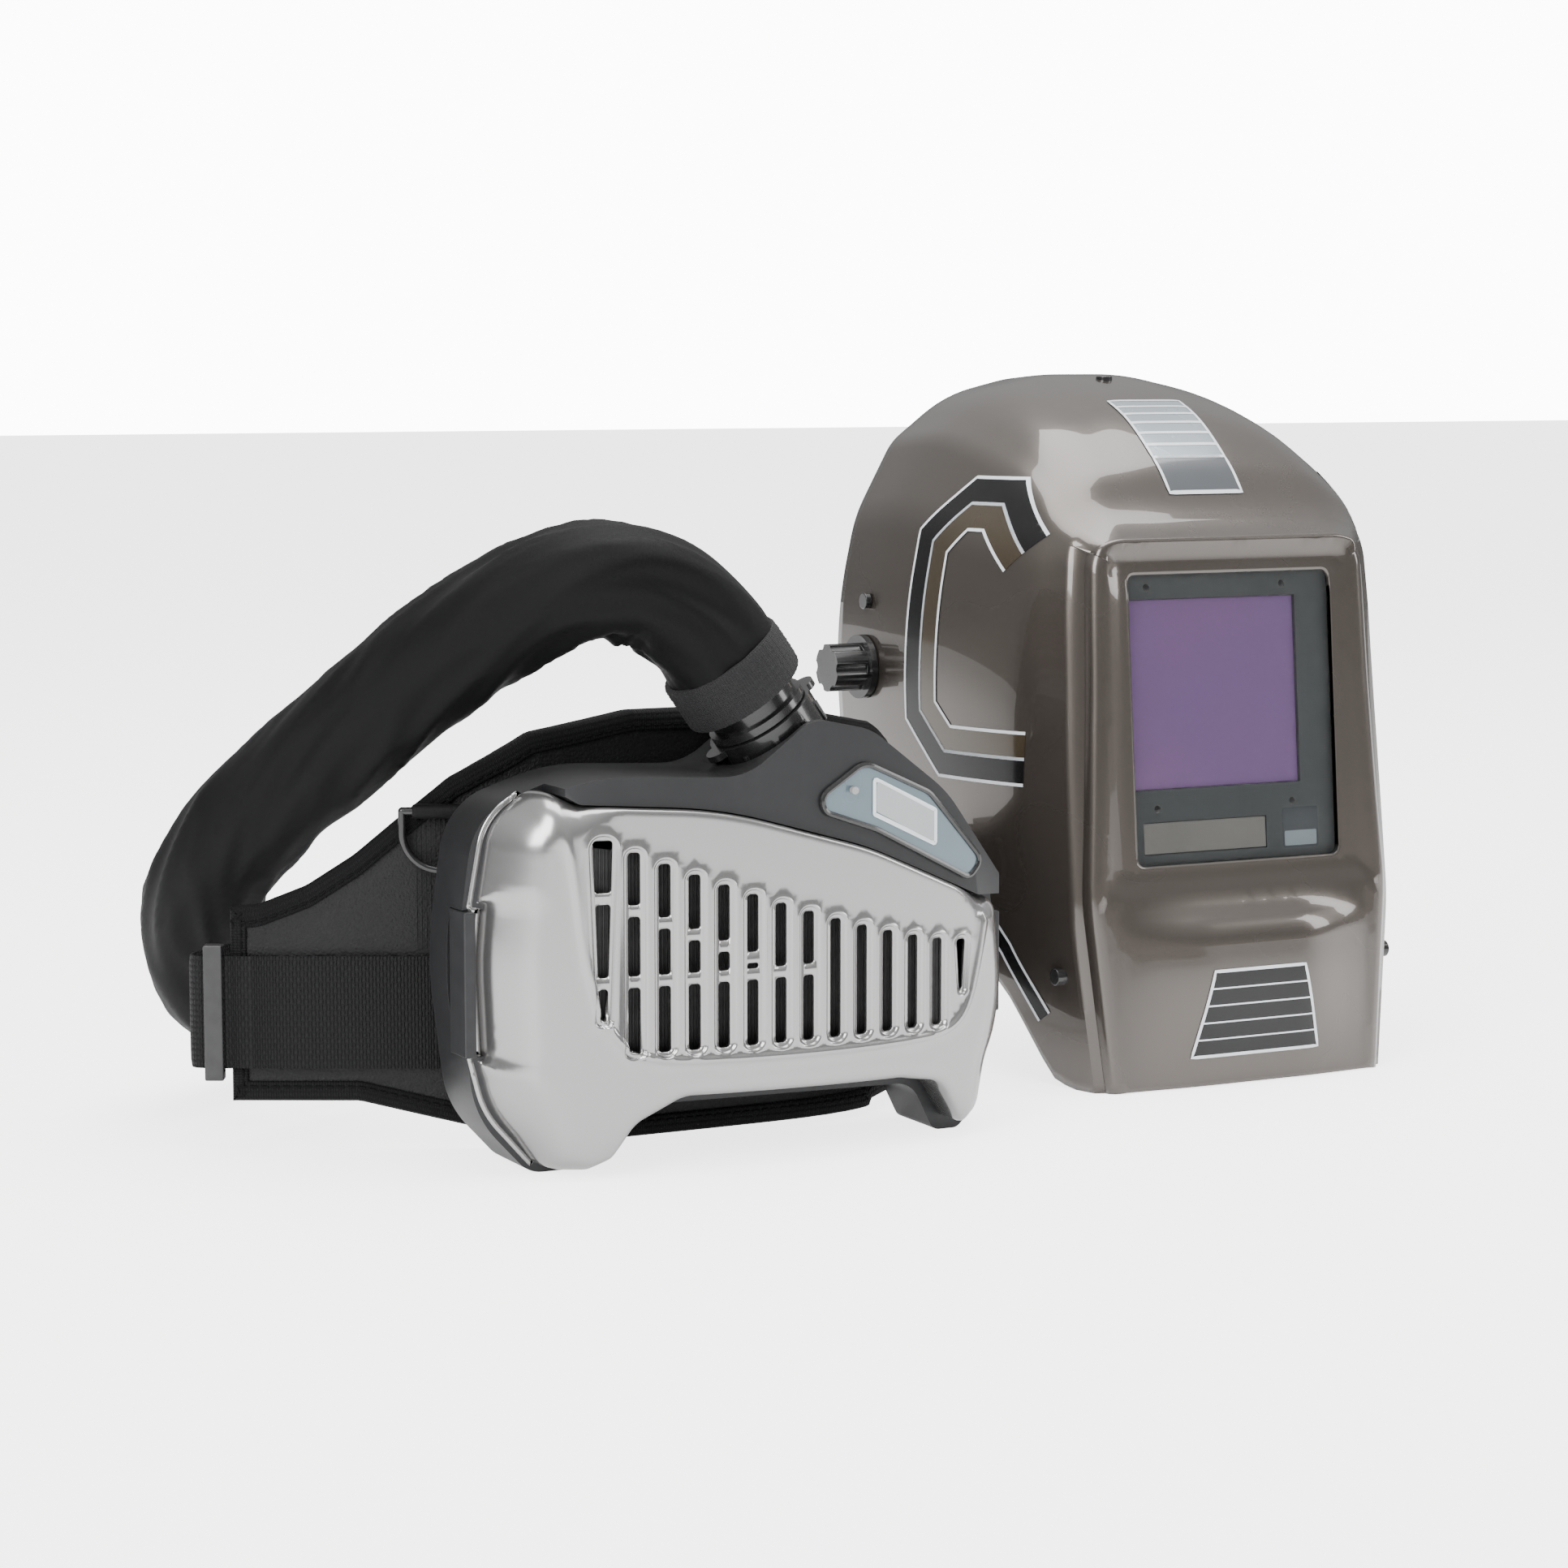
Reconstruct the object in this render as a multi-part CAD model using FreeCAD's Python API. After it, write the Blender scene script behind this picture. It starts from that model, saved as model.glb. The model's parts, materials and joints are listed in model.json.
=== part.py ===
import FreeCAD
import Part

import math
import os

from FreeCAD import Rotation, Vector

# Powered air respirator: belt-worn blower unit, breathing hose and flip-up welding helmet.
# Millimetres, +Z up.  -Y is the way the blower and the helmet face.
# Shapes are drawn in a layout frame whose zero is on the floor under the blower's front,
# and the whole set is then moved so that the origin is the middle of its footprint.

# ---------------------------------------------------------------- blower unit
UNIT_X = 12.0                # middle of the blower across its width
UNIT_BACK = 66.0             # back face, from the front face at Y = 0
PARTING = 34.0               # where the front cover meets the rear housing
FRONT_RADIUS = 480.0         # plan radius of the bowed front
WALL = 2.5
SEAM = 0.6                   # gap round the removable front cover
HOOD_SETBACK = 4.0           # the dark hood above the cover stands this much behind it

# Outlines are (x, z, corner radius) seen from the front.
UNIT_OUTLINE = [
    (-84, 0, 14), (-108, 26, 44), (-116, 90, 160), (-107, 152, 30), (-62, 167, 90),
    (2, 164, 30), (33, 187, 16), (62, 181, 30), (102, 152, 60), (135, 110, 16),
    (142, 62, 90), (128, 8, 16), (120, 0, 5), (108, 0, 5), (97, 22, 12),
    (-24, 24, 16), (-48, 14, 14), (-58, 0, 7)]
COVER_OUTLINE = [
    (-80, 2, 12), (-103, 28, 40), (-111, 90, 150), (-102, 148, 24), (-82, 162, 10),
    (-70, 155, 5), (-10, 151, 200), (60, 131, 160), (120, 105, 4), (133, 103, 10),
    (138, 62, 80), (124, 10, 14), (112, 5, 4), (99, 26, 12), (78, 30, 14),
    (-26, 32, 16), (-47, 22, 16), (-57, 8, 8), (-66, 3, 6)]
PANEL_OUTLINE = [
    (29, 150, 6), (58, 168, 10), (92, 153, 14), (122, 121, 8), (114, 113, 5),
    (64, 138, 30)]
WINDOW_OUTLINE = [(64, 159, 1), (94, 144, 1), (94, 131, 1), (64, 146, 1)]
FILTER_OUTLINE = [
    (-78, 46, 4), (100, 46, 4), (100, 88, 6), (58, 104, 20), (-8, 128, 20), (-78, 140, 6)]

BUTTON_Y = 55.0              # middle of the power button on the right side

SLOTS = 14
SLOT_PITCH = 13.1
SLOT_FIRST_X = -62.0
SLOT_WIDTH = 5.4
SLOT_FOOT = 52.0
SLOT_TOP_LEFT = 141.0
SLOT_TOP_RIGHT = 88.0
BRIDGE = 4.6
LOWER_BRIDGE_Z = 82.0
UPPER_BRIDGE_Z = 117.0
UPPER_BRIDGE_STEP = 5.6

FAN_X = -32.0
FAN_Z = 102.0
IMPELLER_R = 30.0
VOLUTE_R = 41.0
SHAFT_R = 2.0
FAN_CLEAR = 0.05

NECK_BASE = Vector(33, 33, 170)
NECK_TILT = 34.0             # the outlet leans towards -X from straight up
NECK_R = 20.0
COLLAR_R = 24.0
BAND_R = 27.0
HOSE_R = 19.5
SLEEVE_R = 26.0
CUFF_END = 46.0              # along the neck's axis

# ---------------------------------------------------------------- belt
PAD_THICK = 10.0
PAD_PATH = [
    (-178, 133), (-128, 107), (-82, 84), (-48, 76), (12, 75), (74, 76),
    (108, 88), (130, 116), (139, 156), (137, 198)]
PAD_SPLIT_X = 100.0          # left of this the height follows x, right of it y
PAD_PROFILE_LEFT = [
    (-190, 22), (-190, 104), (-168, 106), (-150, 114), (-132, 127), (-116, 142), (-96, 160),
    (-64, 179), (-20, 187), (50, 187), (100, 176), (100, 2), (-60, 2), (-84, 10), (-130, 22)]
PAD_PROFILE_RIGHT = [
    (60, 2), (60, 182), (84, 178), (100, 160), (128, 130), (160, 110), (210, 100),
    (210, 22), (160, 20), (110, 8)]
BINDING = 4.5
WEB_THICK = 2.0
WEB_STANDOFF = 2.9           # from the pad's face to the middle of the webbing
WEB_FOOT = 37.0
WEB_HEAD = 85.0

# ---------------------------------------------------------------- hose
# The route is a list of corners; each is rounded as widely as its two runs allow.
HOSE_MIDDLE = [
    (-52, 44, 247), (-92, 74, 223), (-126, 112, 184), (-154, 152, 147), (-173, 187, 108),
    (-166, 218, 69), (-139, 246, 43), (-97, 268, 30), (-48, 287, 27), (3, 300, 27),
    (54, 316, 27), (104, 325, 27), (153, 339, 29), (200, 359, 31), (243, 379, 41),
    (276, 394, 68), (291, 399, 108)]
OUTLET_RUN = 37.0            # straight run out of the blower's cuff
INLET_END = Vector(293, 368, 190)
INLET_DIR = Vector(0, -0.447, 0.894)
INLET_RUN = 42.0

# ---------------------------------------------------------------- helmet
HELMET_X = 293.0
PIVOT = Vector(293, 224, 187)
SHELL_WALL = 3.0
WINDOW_CENTRE = Vector(293, 76, 170)
WINDOW_LEAN = 5.0
WINDOW_W = 112.0
WINDOW_H = 134.0
KNOB_SEAT = 118.3            # from the middle plane to the tension knob's flange
# Each station is (y at window height, lean, [(half width, z), ...]) from crown to chin.
SHELL_STATIONS = [
    (262, 0, [(20, 326), (58, 317), (88, 294), (108, 258), (116, 222), (118, 187),
              (114, 130), (104, 60), (86, -12)]),
    (205, 0, [(20, 327), (58, 319), (88, 298), (108, 262), (116, 222), (118, 187),
              (115, 130), (105, 60), (88, -12)]),
    (150, 0, [(22, 311), (60, 305), (86, 286), (104, 254), (110, 220), (112, 187),
              (110, 130), (104, 60), (90, -12)]),
    (112, 2, [(24, 286), (64, 283), (84, 270), (95, 248), (98, 220), (100, 187),
              (101, 130), (98, 60), (86, -12)]),
    (90, 5, [(26, 266), (64, 264), (80, 257), (84, 246), (86, 220), (87, 187),
             (89, 130), (90, 78), (80, -12)]),
    (76, 5, [(26, 254), (62, 254), (72, 251), (76, 243), (77, 220), (78, 187),
             (81, 130), (84, 88), (74, -12)])]
RIM_CUT = [
    (300, 204), (266, 168), (222, 131), (165, 86), (118, 38), (96, 4), (84, 0), (20, 0),
    (20, -60), (300, -60)]
REAR_EDGE_Y = 252.0


# ---------------------------------------------------------------- drawing helpers
def rounded_wire(points, y):
    """Closed wire of straight runs and corner arcs in the plane Y = y, from (x, z, radius)."""
    corners = []
    count = len(points)
    for index, (x, z, radius) in enumerate(points):
        before = Vector(points[index - 1][0], y, points[index - 1][1])
        after_point = points[(index + 1) % count]
        after = Vector(after_point[0], y, after_point[1])
        here = Vector(x, y, z)
        towards = (before - here).normalize()
        away = (after - here).normalize()
        half = towards.getAngle(away) / 2
        reach = radius / math.tan(half)
        limit = 0.46 * min((before - here).Length, (after - here).Length)
        reach = min(reach, limit)
        radius = reach * math.tan(half)
        middle = (towards + away).normalize()
        centre = here + middle * (radius / math.sin(half))
        corners.append((here + towards * reach, centre - middle * radius, here + away * reach))
    edges = []
    for index, (start, middle, end) in enumerate(corners):
        edges.append(Part.Arc(start, middle, end).toShape())
        following = corners[(index + 1) % count][0]
        edges.append(Part.LineSegment(end, following).toShape())
    return Part.Wire(edges)


def prism_y(points, y0, y1):
    """Solid between Y = y0 and Y = y1 with a rounded outline."""
    face = Part.Face(rounded_wire(points, y0))
    return face.extrude(Vector(0, y1 - y0, 0))


def inset(points, amount):
    """The same outline drawn inwards by an amount."""
    wire = rounded_wire(points, 0)
    smaller = wire.makeOffset2D(-amount)
    return smaller


def inset_prism(points, amount, y0, y1):
    """Solid between two Y planes whose outline is drawn inwards."""
    face = Part.Face(inset(points, amount))
    face.translate(Vector(0, y0, 0))
    return face.extrude(Vector(0, y1 - y0, 0))


def bowed_block(setback):
    """Everything behind the bowed front surface, moved back by a distance."""
    centre = Vector(UNIT_X, FRONT_RADIUS + setback, -20)
    return Part.makeCylinder(FRONT_RADIUS, 260, centre, Vector(0, 0, 1))


def box(x0, x1, y0, y1, z0, z1):
    """Axis-aligned block between two corners."""
    return Part.makeBox(x1 - x0, y1 - y0, z1 - z0, Vector(x0, y0, z0))


def rod(base, axis, radius, start, end):
    """Cylinder along an axis, between two distances from a base point."""
    return Part.makeCylinder(radius, end - start, base + axis * start, axis)


def ring(base, axis, outer, inner, start, end):
    """Tube along an axis, between two distances from a base point."""
    return rod(base, axis, outer, start, end).cut(rod(base, axis, inner, start - 1, end + 1))


def fuse(shapes):
    """One solid from several that touch."""
    return shapes[0].multiFuse(shapes[1:]).removeSplitter()


def smooth(points, rounds=2):
    """Cut a polyline's corners a few times; its two ends stay."""
    for _ in range(rounds):
        softer = [points[0]]
        for (ax, ay), (bx, by) in zip(points, points[1:]):
            softer.append((0.75 * ax + 0.25 * bx, 0.75 * ay + 0.25 * by))
            softer.append((0.25 * ax + 0.75 * bx, 0.25 * ay + 0.75 * by))
        softer.append(points[-1])
        points = softer
    return points


def beside(points, distance):
    """The polyline moved sideways: positive is to the right of its direction."""
    moved = []
    for index, (x, y) in enumerate(points):
        ax, ay = points[max(index - 1, 0)]
        bx, by = points[min(index + 1, len(points) - 1)]
        length = math.hypot(bx - ax, by - ay)
        moved.append((x + distance * (by - ay) / length, y - distance * (bx - ax) / length))
    return moved


def ribbon(points, thickness, z0, z1):
    """Upright band that follows a plan polyline."""
    one = beside(points, thickness / 2)
    other = beside(points, -thickness / 2)
    corners = [Vector(x, y, z0) for x, y in one + other[::-1]]
    face = Part.Face(Part.makePolygon(corners + corners[:1]))
    return face.extrude(Vector(0, 0, z1 - z0))


def plate(points, thickness, axis):
    """Flat plate from 3-D points, thickened along an axis."""
    corners = [Vector(*point) for point in points]
    face = Part.Face(Part.makePolygon(corners + corners[:1]))
    return face.extrude(axis * thickness)


def ellipse_arc(cx, cy, rx, ry, start, end, steps):
    """Plan points on an ellipse, angles in degrees from +X."""
    points = []
    for step in range(steps + 1):
        angle = math.radians(start + (end - start) * step / steps)
        points.append((cx + rx * math.cos(angle), cy + ry * math.sin(angle)))
    return points


def rounded_route(corners):
    """Wire of straight runs and tangent arcs through a list of corners, with its radii."""
    edges = []
    radii = []
    here = corners[0]
    for before, corner, after in zip(corners, corners[1:], corners[2:]):
        incoming = (corner - before).normalize()
        outgoing = (after - corner).normalize()
        shorter = min((corner - before).Length, (after - corner).Length)
        reach = 0.45 * shorter
        half = incoming.getAngle(outgoing) / 2
        radius = reach / math.tan(half)
        start = corner - incoming * reach
        end = corner + outgoing * reach
        inward = (outgoing - incoming).normalize()
        centre = corner + inward * (radius / math.cos(half))
        middle = centre - inward * radius
        edges.append(Part.LineSegment(here, start).toShape())
        edges.append(Part.Arc(start, middle, end).toShape())
        radii.append(round(radius))
        here = end
    edges.append(Part.LineSegment(here, corners[-1]).toShape())
    return Part.Wire(edges), radii


def swept_tube(path, outer, inner):
    """Hollow round tube along a wire."""
    first = path.OrderedEdges[0]
    start = first.valueAt(first.FirstParameter)
    direction = first.tangentAt(first.FirstParameter)
    solids = []
    for radius in (outer, inner):
        circle = Part.Wire(Part.makeCircle(radius, start, direction))
        solids.append(path.makePipeShell([circle], True, True))
    return solids[0].cut(solids[1])


# ---------------------------------------------------------------- blower casing
def unit_shell():
    """Rear housing: back box, hood above the cover, divider wall and outlet neck."""
    back_outer = prism_y(UNIT_OUTLINE, PARTING, UNIT_BACK)
    back_inner = inset_prism(UNIT_OUTLINE, WALL, PARTING + 3, UNIT_BACK - WALL)
    below_hood = Part.Face(rounded_wire(grown_cover_outline(), -20)).extrude(Vector(0, 90, 0))
    hood = prism_y(UNIT_OUTLINE, -20, PARTING).common(bowed_block(HOOD_SETBACK))
    hood = hood.cut(below_hood)
    hood = hood.common(box(-76, 132, -20, PARTING, 104, 220))
    housing = back_outer.fuse(hood)
    housing = housing.cut(back_inner)
    axis = neck_axis()
    housing = housing.cut(rod(NECK_BASE, axis, COLLAR_R + 2.4, 3.2, 60))
    neck = rod(NECK_BASE, axis, NECK_R, -14, 14)
    housing = housing.fuse(neck)
    housing = housing.cut(rod(NECK_BASE, axis, NECK_R - 3, -30, 20).common(
        box(-40, 80, 0, UNIT_BACK - WALL, 150, 220)))
    fan_axis = Vector(0, 1, 0)
    housing = housing.cut(rod(Vector(FAN_X, 0, FAN_Z), fan_axis, 21, 30, 40))
    housing = housing.cut(box(-27, 77, 38.6, 62.4, 10, 60))
    for latch in latch_pockets():
        housing = housing.cut(latch)
    housing = housing.cut(rod(Vector(120, BUTTON_Y, 84), Vector(1, 0, 0), 7.3, 0, 30))
    for x, z in SCREW_PLACES:
        housing = housing.cut(rod(Vector(x, 0, z), fan_axis, 2.0, 58, UNIT_BACK + 1))
    return housing


def grown_cover_outline():
    """The cover's outline with the seam round it, reaching past the unit's own sides."""
    grown = []
    for x, z, radius in COVER_OUTLINE:
        if z > 100:
            z = z + SEAM
        if (x < -75 or x > 125) and z < 160:
            x = x + math.copysign(30, x)
        if z < 100:
            z = z - 30
        grown.append((x, z, radius))
    return grown


SCREW_PLACES = [(-94, 30), (-92, 142), (112, 30), (108, 112)]


def latch_pockets():
    """Spaces in both sides of the casing where the cover latches sit."""
    left = box(-126, -103.5, PARTING - 5, PARTING + 13, 51, 112)
    right = box(127.5, 150, PARTING - 5, PARTING + 13, 51, 96)
    return [left, right]


def cover_latch(side):
    """Latch plate on one side, pressed inwards to free the front cover."""
    y0 = PARTING - 4.6
    y1 = PARTING + 12.6
    if side < 0:
        return box(-113.6, -108.5, y0, y1, 51.4, 111.6)
    return box(132.5, 138.4, y0, y1, 51.4, 95.6)


def slot_top(index):
    """Height of a vent slot's head: a falling curve from the tall end to the low end."""
    share = (SLOTS - 1 - index) / (SLOTS - 1)
    return SLOT_TOP_RIGHT + (SLOT_TOP_LEFT - SLOT_TOP_RIGHT) * share ** 1.35


def slot_spans(index):
    """Open stretches of one vent slot, between its bridges."""
    foot = SLOT_FOOT
    if index == 0 or index == SLOTS - 1:
        foot = SLOT_FOOT + 14
    bridges = []
    if index <= 5:
        bridges.append(UPPER_BRIDGE_Z - UPPER_BRIDGE_STEP * index)
    if index <= 7:
        bridges.append(LOWER_BRIDGE_Z)
    spans = []
    low = foot
    for bridge in sorted(bridges):
        spans.append((low, bridge - BRIDGE / 2))
        low = bridge + BRIDGE / 2
    spans.append((low, slot_top(index)))
    return [span for span in spans if span[1] - span[0] > 2]


def vent_cutters():
    """One cutter for each open stretch of the vent slots."""
    cutters = []
    for index in range(SLOTS):
        x = SLOT_FIRST_X + SLOT_PITCH * index
        for low, high in slot_spans(index):
            cutters.append(box(x - SLOT_WIDTH / 2, x + SLOT_WIDTH / 2, -10, 20, low, high))
    return cutters


def front_cover():
    """Silver front shell with its bowed face and vent slots."""
    outer = prism_y(COVER_OUTLINE, -20, PARTING - 0.3).common(bowed_block(0))
    inner = inset_prism(COVER_OUTLINE, WALL, -20, PARTING + 1).common(bowed_block(WALL))
    shell = outer.cut(inner)
    shell = shell.cut(Part.makeCompound(vent_cutters()))
    for pocket in latch_pockets():
        shell = shell.cut(pocket)
    return shell


def filter_stack():
    """Spark arrestor, prefilter, main filter and its gasket, front to back."""
    filter_ring = inset_prism(FILTER_OUTLINE, 0.5, 31.2, PARTING - 0.1)
    filter_ring = filter_ring.cut(inset_prism(FILTER_OUTLINE, 6, 30, 36))
    return {
        "spark_arrestor": prism_y(FILTER_OUTLINE, 11.5, 12.3),
        "prefilter": inset_prism(FILTER_OUTLINE, 1, 12.5, 15.5),
        "main_filter": prism_y(FILTER_OUTLINE, 15.7, 31.0),
        "filter_gasket": filter_ring}


def panel_parts():
    """Control panel, its display window and the warning light, on the hood's front."""
    panel = prism_y(PANEL_OUTLINE, -20, 30).common(bowed_block(HOOD_SETBACK - 1))
    panel = panel.cut(bowed_block(HOOD_SETBACK - 0.02))
    window = prism_y(WINDOW_OUTLINE, -20, 30).common(bowed_block(HOOD_SETBACK - 1.7))
    window = window.cut(bowed_block(HOOD_SETBACK - 1.02))
    light = rod(Vector(52, HOOD_SETBACK + 0.4, 156), Vector(0, -1, 0), 1.6, 0, 2.6)
    return {"control_panel": panel.cut(light), "display_window": window, "warning_led": light}


# ---------------------------------------------------------------- blower insides
def fan_parts():
    """Volute, impeller, shaft, motor and bearings, on an axis along Y."""
    centre = Vector(FAN_X, 0, FAN_Z)
    axis = Vector(0, 1, 0)
    outer = rod(centre, axis, VOLUTE_R, 37.2, 53)
    throat = plate([(FAN_X, 37.2, 143), (FAN_X, 37.2, 125), (18, 37.2, 130), (45, 37.2, 158),
                    (23, 37.2, 166), (6, 37.2, 150)], 15.8, axis)
    inner = rod(centre, axis, VOLUTE_R - 2, 39.2, 51)
    channel = plate([(FAN_X + 2, 39.2, 141), (FAN_X + 2, 39.2, 127), (17, 39.2, 132.5),
                     (46, 39.2, 161), (26, 39.2, 170), (7, 39.2, 148)], 11.8, axis)
    volute = outer.fuse(throat).cut(inner).cut(channel)
    volute = volute.cut(rod(centre, axis, 20, 36, 40))
    volute = volute.cut(rod(centre, axis, 12.0, 50, 54))
    volute = volute.common(inset_prism(UNIT_OUTLINE, WALL + 0.4, 37.2, 60))
    volute = volute.cut(rod(NECK_BASE, neck_axis(), NECK_R + 0.3, -14.3, 30))
    impeller = rod(centre, axis, IMPELLER_R, 48.4, 50).cut(rod(centre, axis, SHAFT_R, 48, 51))
    hub = ring(centre, axis, 6, SHAFT_R, 42, 48.4)
    blades = []
    for index in range(18):
        blade = box(FAN_X + 17, FAN_X + IMPELLER_R - 1, 40, 48.5, FAN_Z - 0.6, FAN_Z + 0.6)
        blade.rotate(centre, axis, 20 * index)
        blades.append(blade)
    impeller = fuse([impeller, hub] + blades)
    shaft = rod(centre, axis, SHAFT_R, 41, 61)
    motor = ring(centre, axis, 14, 6.5, 53.2, 60)
    motor = motor.fuse(ring(centre, axis, 11.5, 6.5, 51.4, 53.2))
    motor = motor.fuse(ring(centre, axis, 14, SHAFT_R + 1.5, 60, 62))
    bearing = ring(centre, axis, 6.5, SHAFT_R + FAN_CLEAR, 52, 54.5)
    other = ring(centre, axis, 6.5, SHAFT_R + FAN_CLEAR, 57, 59.5)
    return {"fan_volute": volute, "fan_impeller": impeller, "motor_shaft": shaft,
            "motor_body": motor, "motor_bearings": Part.makeCompound([bearing, other])}


def electronics():
    """Circuit board with two parts on it, battery, battery latch and power button."""
    board = box(62, 118, 46, 47.6, 64, 124)
    chips = [box(70, 84, 43, 46, 72, 86), box(92, 106, 41, 46, 92, 108)]
    battery = box(-26.5, 76.5, 39, 62, 27.5, 58)
    battery = battery.fuse(box(-24, 74, 41, 60, 24.2, 27.5))
    battery = battery.cut(box(60.5, 74.5, 44.5, 56.5, 20, 31))
    latch = box(61, 74, 45, 56, 23.2, 28.5)
    button = rod(Vector(120, BUTTON_Y, 84), Vector(1, 0, 0), 7, 9, 23)
    return {"circuit_board": fuse([board] + chips), "battery_pack": battery,
            "battery_latch": latch, "power_button": button}


def housing_screws():
    """Four identical screws from the back."""
    screws = []
    axis = Vector(0, 1, 0)
    for x, z in SCREW_PLACES:
        base = Vector(x, 0, z)
        screws.append(rod(base, axis, 1.95, 58, 66.05).fuse(rod(base, axis, 3.6, 66.05, 67.4)))
    return Part.makeCompound(screws)


# ---------------------------------------------------------------- outlet and hose
def neck_axis():
    """Direction of the air outlet."""
    lean = math.radians(NECK_TILT)
    return Vector(-math.sin(lean), 0, math.cos(lean))


def outlet_parts():
    """Bayonet collar and seal ring on the outlet, then the hose's cuff and sleeve band."""
    axis = neck_axis()
    collar = ring(NECK_BASE, axis, COLLAR_R, NECK_R + 0.1, 3.5, 16)
    collar = collar.fuse(ring(NECK_BASE, axis, COLLAR_R, HOSE_R + 0.6, 16, 19))
    side = axis.cross(Vector(0, 1, 0))
    for index in range(10):
        turn = Rotation(axis, 36 * index)
        outward = turn.multVec(side)
        rib = rod(NECK_BASE + outward * COLLAR_R, axis, 1.3, 5, 14)
        collar = collar.fuse(rib)
    for sign in (-1, 1):
        lug = rod(NECK_BASE + side * (sign * (COLLAR_R - 1)), axis, 6, 16, 19)
        lug = lug.cut(rod(NECK_BASE, axis, HOSE_R + 0.6, 10, 30))
        collar = collar.fuse(lug)
    cuff = ring(NECK_BASE, axis, HOSE_R, 16.5, 14.2, CUFF_END)
    cuff = cuff.fuse(ring(NECK_BASE, axis, 22.0, 16.5, 19.6, 23))
    seal = ring(NECK_BASE, axis, NECK_R - 3, NECK_R - 5, 9, 13)
    band = ring(NECK_BASE, axis, BAND_R, SLEEVE_R - 4, 24, 42)
    return {"outlet_collar": collar, "outlet_seal": seal}, cuff, band


def hose_parts():
    """Inner breathing hose and its fabric sleeve, on one route from blower to helmet."""
    start = NECK_BASE + neck_axis() * (CUFF_END + 0.2)
    last = INLET_END - INLET_DIR * INLET_RUN
    first = start + neck_axis() * OUTLET_RUN
    middle = [Vector(*point) for point in HOSE_MIDDLE]
    corners = [start, first] + middle + [last, INLET_END]
    path, radii = rounded_route(corners)
    print("hose length", round(path.Length), "bend radii", radii)
    hose = swept_tube(path, HOSE_R, 16.0)
    sleeve = swept_tube(path, SLEEVE_R, 20.5)
    for name, tube, outer, inner in (("air_hose", hose, HOSE_R, 16.0),
                                     ("hose_sleeve", sleeve, SLEEVE_R, 20.5)):
        wanted = math.pi * (outer ** 2 - inner ** 2) * path.Length
        print(name, "volume against section x length", round(tube.Volume / wanted, 4))
    return {"air_hose": hose, "hose_sleeve": sleeve}


def hose_end_parts():
    """Collar, cuffs, elastic sleeve bands and the swivel ring at the hose's two ends."""
    parts, cuff, band = outlet_parts()
    head_cuff = ring(INLET_END, INLET_DIR, HOSE_R, 16.5, 0.2, 22)
    head_band = ring(INLET_END, INLET_DIR, BAND_R, SLEEVE_R - 4, 0.4, 16)
    parts["hose_cuffs"] = Part.makeCompound([cuff, head_cuff])
    parts["sleeve_bands"] = Part.makeCompound([band, head_band])
    parts["inlet_swivel"] = ring(INLET_END, INLET_DIR, 24, 20.6, 17, 30)
    return parts


# ---------------------------------------------------------------- belt
def pad_body(thickness, shrink):
    """The belt pad's solid at a thickness, with its edge drawn in by an amount."""
    path = smooth(PAD_PATH)
    slab = ribbon(path, thickness, -5, 200)
    left = shrunk_profile(PAD_PROFILE_LEFT, shrink)
    left_face = Part.Face(Part.makePolygon([Vector(x, 0, z) for x, z in left + left[:1]]))
    left_part = slab.common(left_face.extrude(Vector(0, 300, 0)))
    left_part = left_part.common(box(-190, PAD_SPLIT_X, 0, 300, -10, 210))
    if shrink > 0:
        left_part = left_part.cut(end_trim(shrink))
    right = shrunk_profile(PAD_PROFILE_RIGHT, shrink)
    right_face = Part.Face(Part.makePolygon([Vector(0, y, z) for y, z in right + right[:1]]))
    right_part = slab.common(right_face.extrude(Vector(300, 0, 0)))
    right_part = right_part.common(box(PAD_SPLIT_X, 300, 0, 198 - shrink, -10, 210))
    return left_part.fuse(right_part).removeSplitter()


def end_trim(shrink):
    """Block that shortens the left wing's end by an amount."""
    end = Vector(*PAD_PATH[0], 0)
    along = (Vector(*PAD_PATH[1], 0) - end).normalize()
    block = Part.makeBox(60, 60, 300, Vector(-60, -30, -20))
    angle = math.degrees(math.atan2(along.y, along.x))
    block.rotate(Vector(0, 0, 0), Vector(0, 0, 1), angle)
    block.translate(end + along * shrink)
    return block


def shrunk_profile(points, amount):
    """Upper corners come down and lower corners go up by an amount."""
    middle = 63.0
    return [(x, z - amount if z > middle else z + amount) for x, z in points]


def belt_pad_parts():
    """Padded belt and the woven binding round its edge."""
    pad = pad_body(PAD_THICK, BINDING)
    binding = pad_body(PAD_THICK + 2.4, 0).cut(pad_body(PAD_THICK + 6, BINDING))
    return {"belt_pad": pad, "belt_binding": binding}


def webbing_paths():
    """Plan paths of the two webbing lengths, from the pad's face round to the buckle."""
    face = beside(smooth(PAD_PATH), PAD_THICK / 2 + WEB_STANDOFF)
    left = [point for point in face if point[0] < -92][::-1]
    left = left + [(-192.2, 131.5), (-195, 136.5), (-192, 143), (-182, 151), (-166, 160),
                   (-130, 181), (-92, 200), (-52, 214)]
    right = [point for point in face if point[0] > 0 and point[1] > 116]
    right = right + [(142, 214), (134, 228), (112, 238), (84, 241), (58, 238)]
    return left, right


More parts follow.
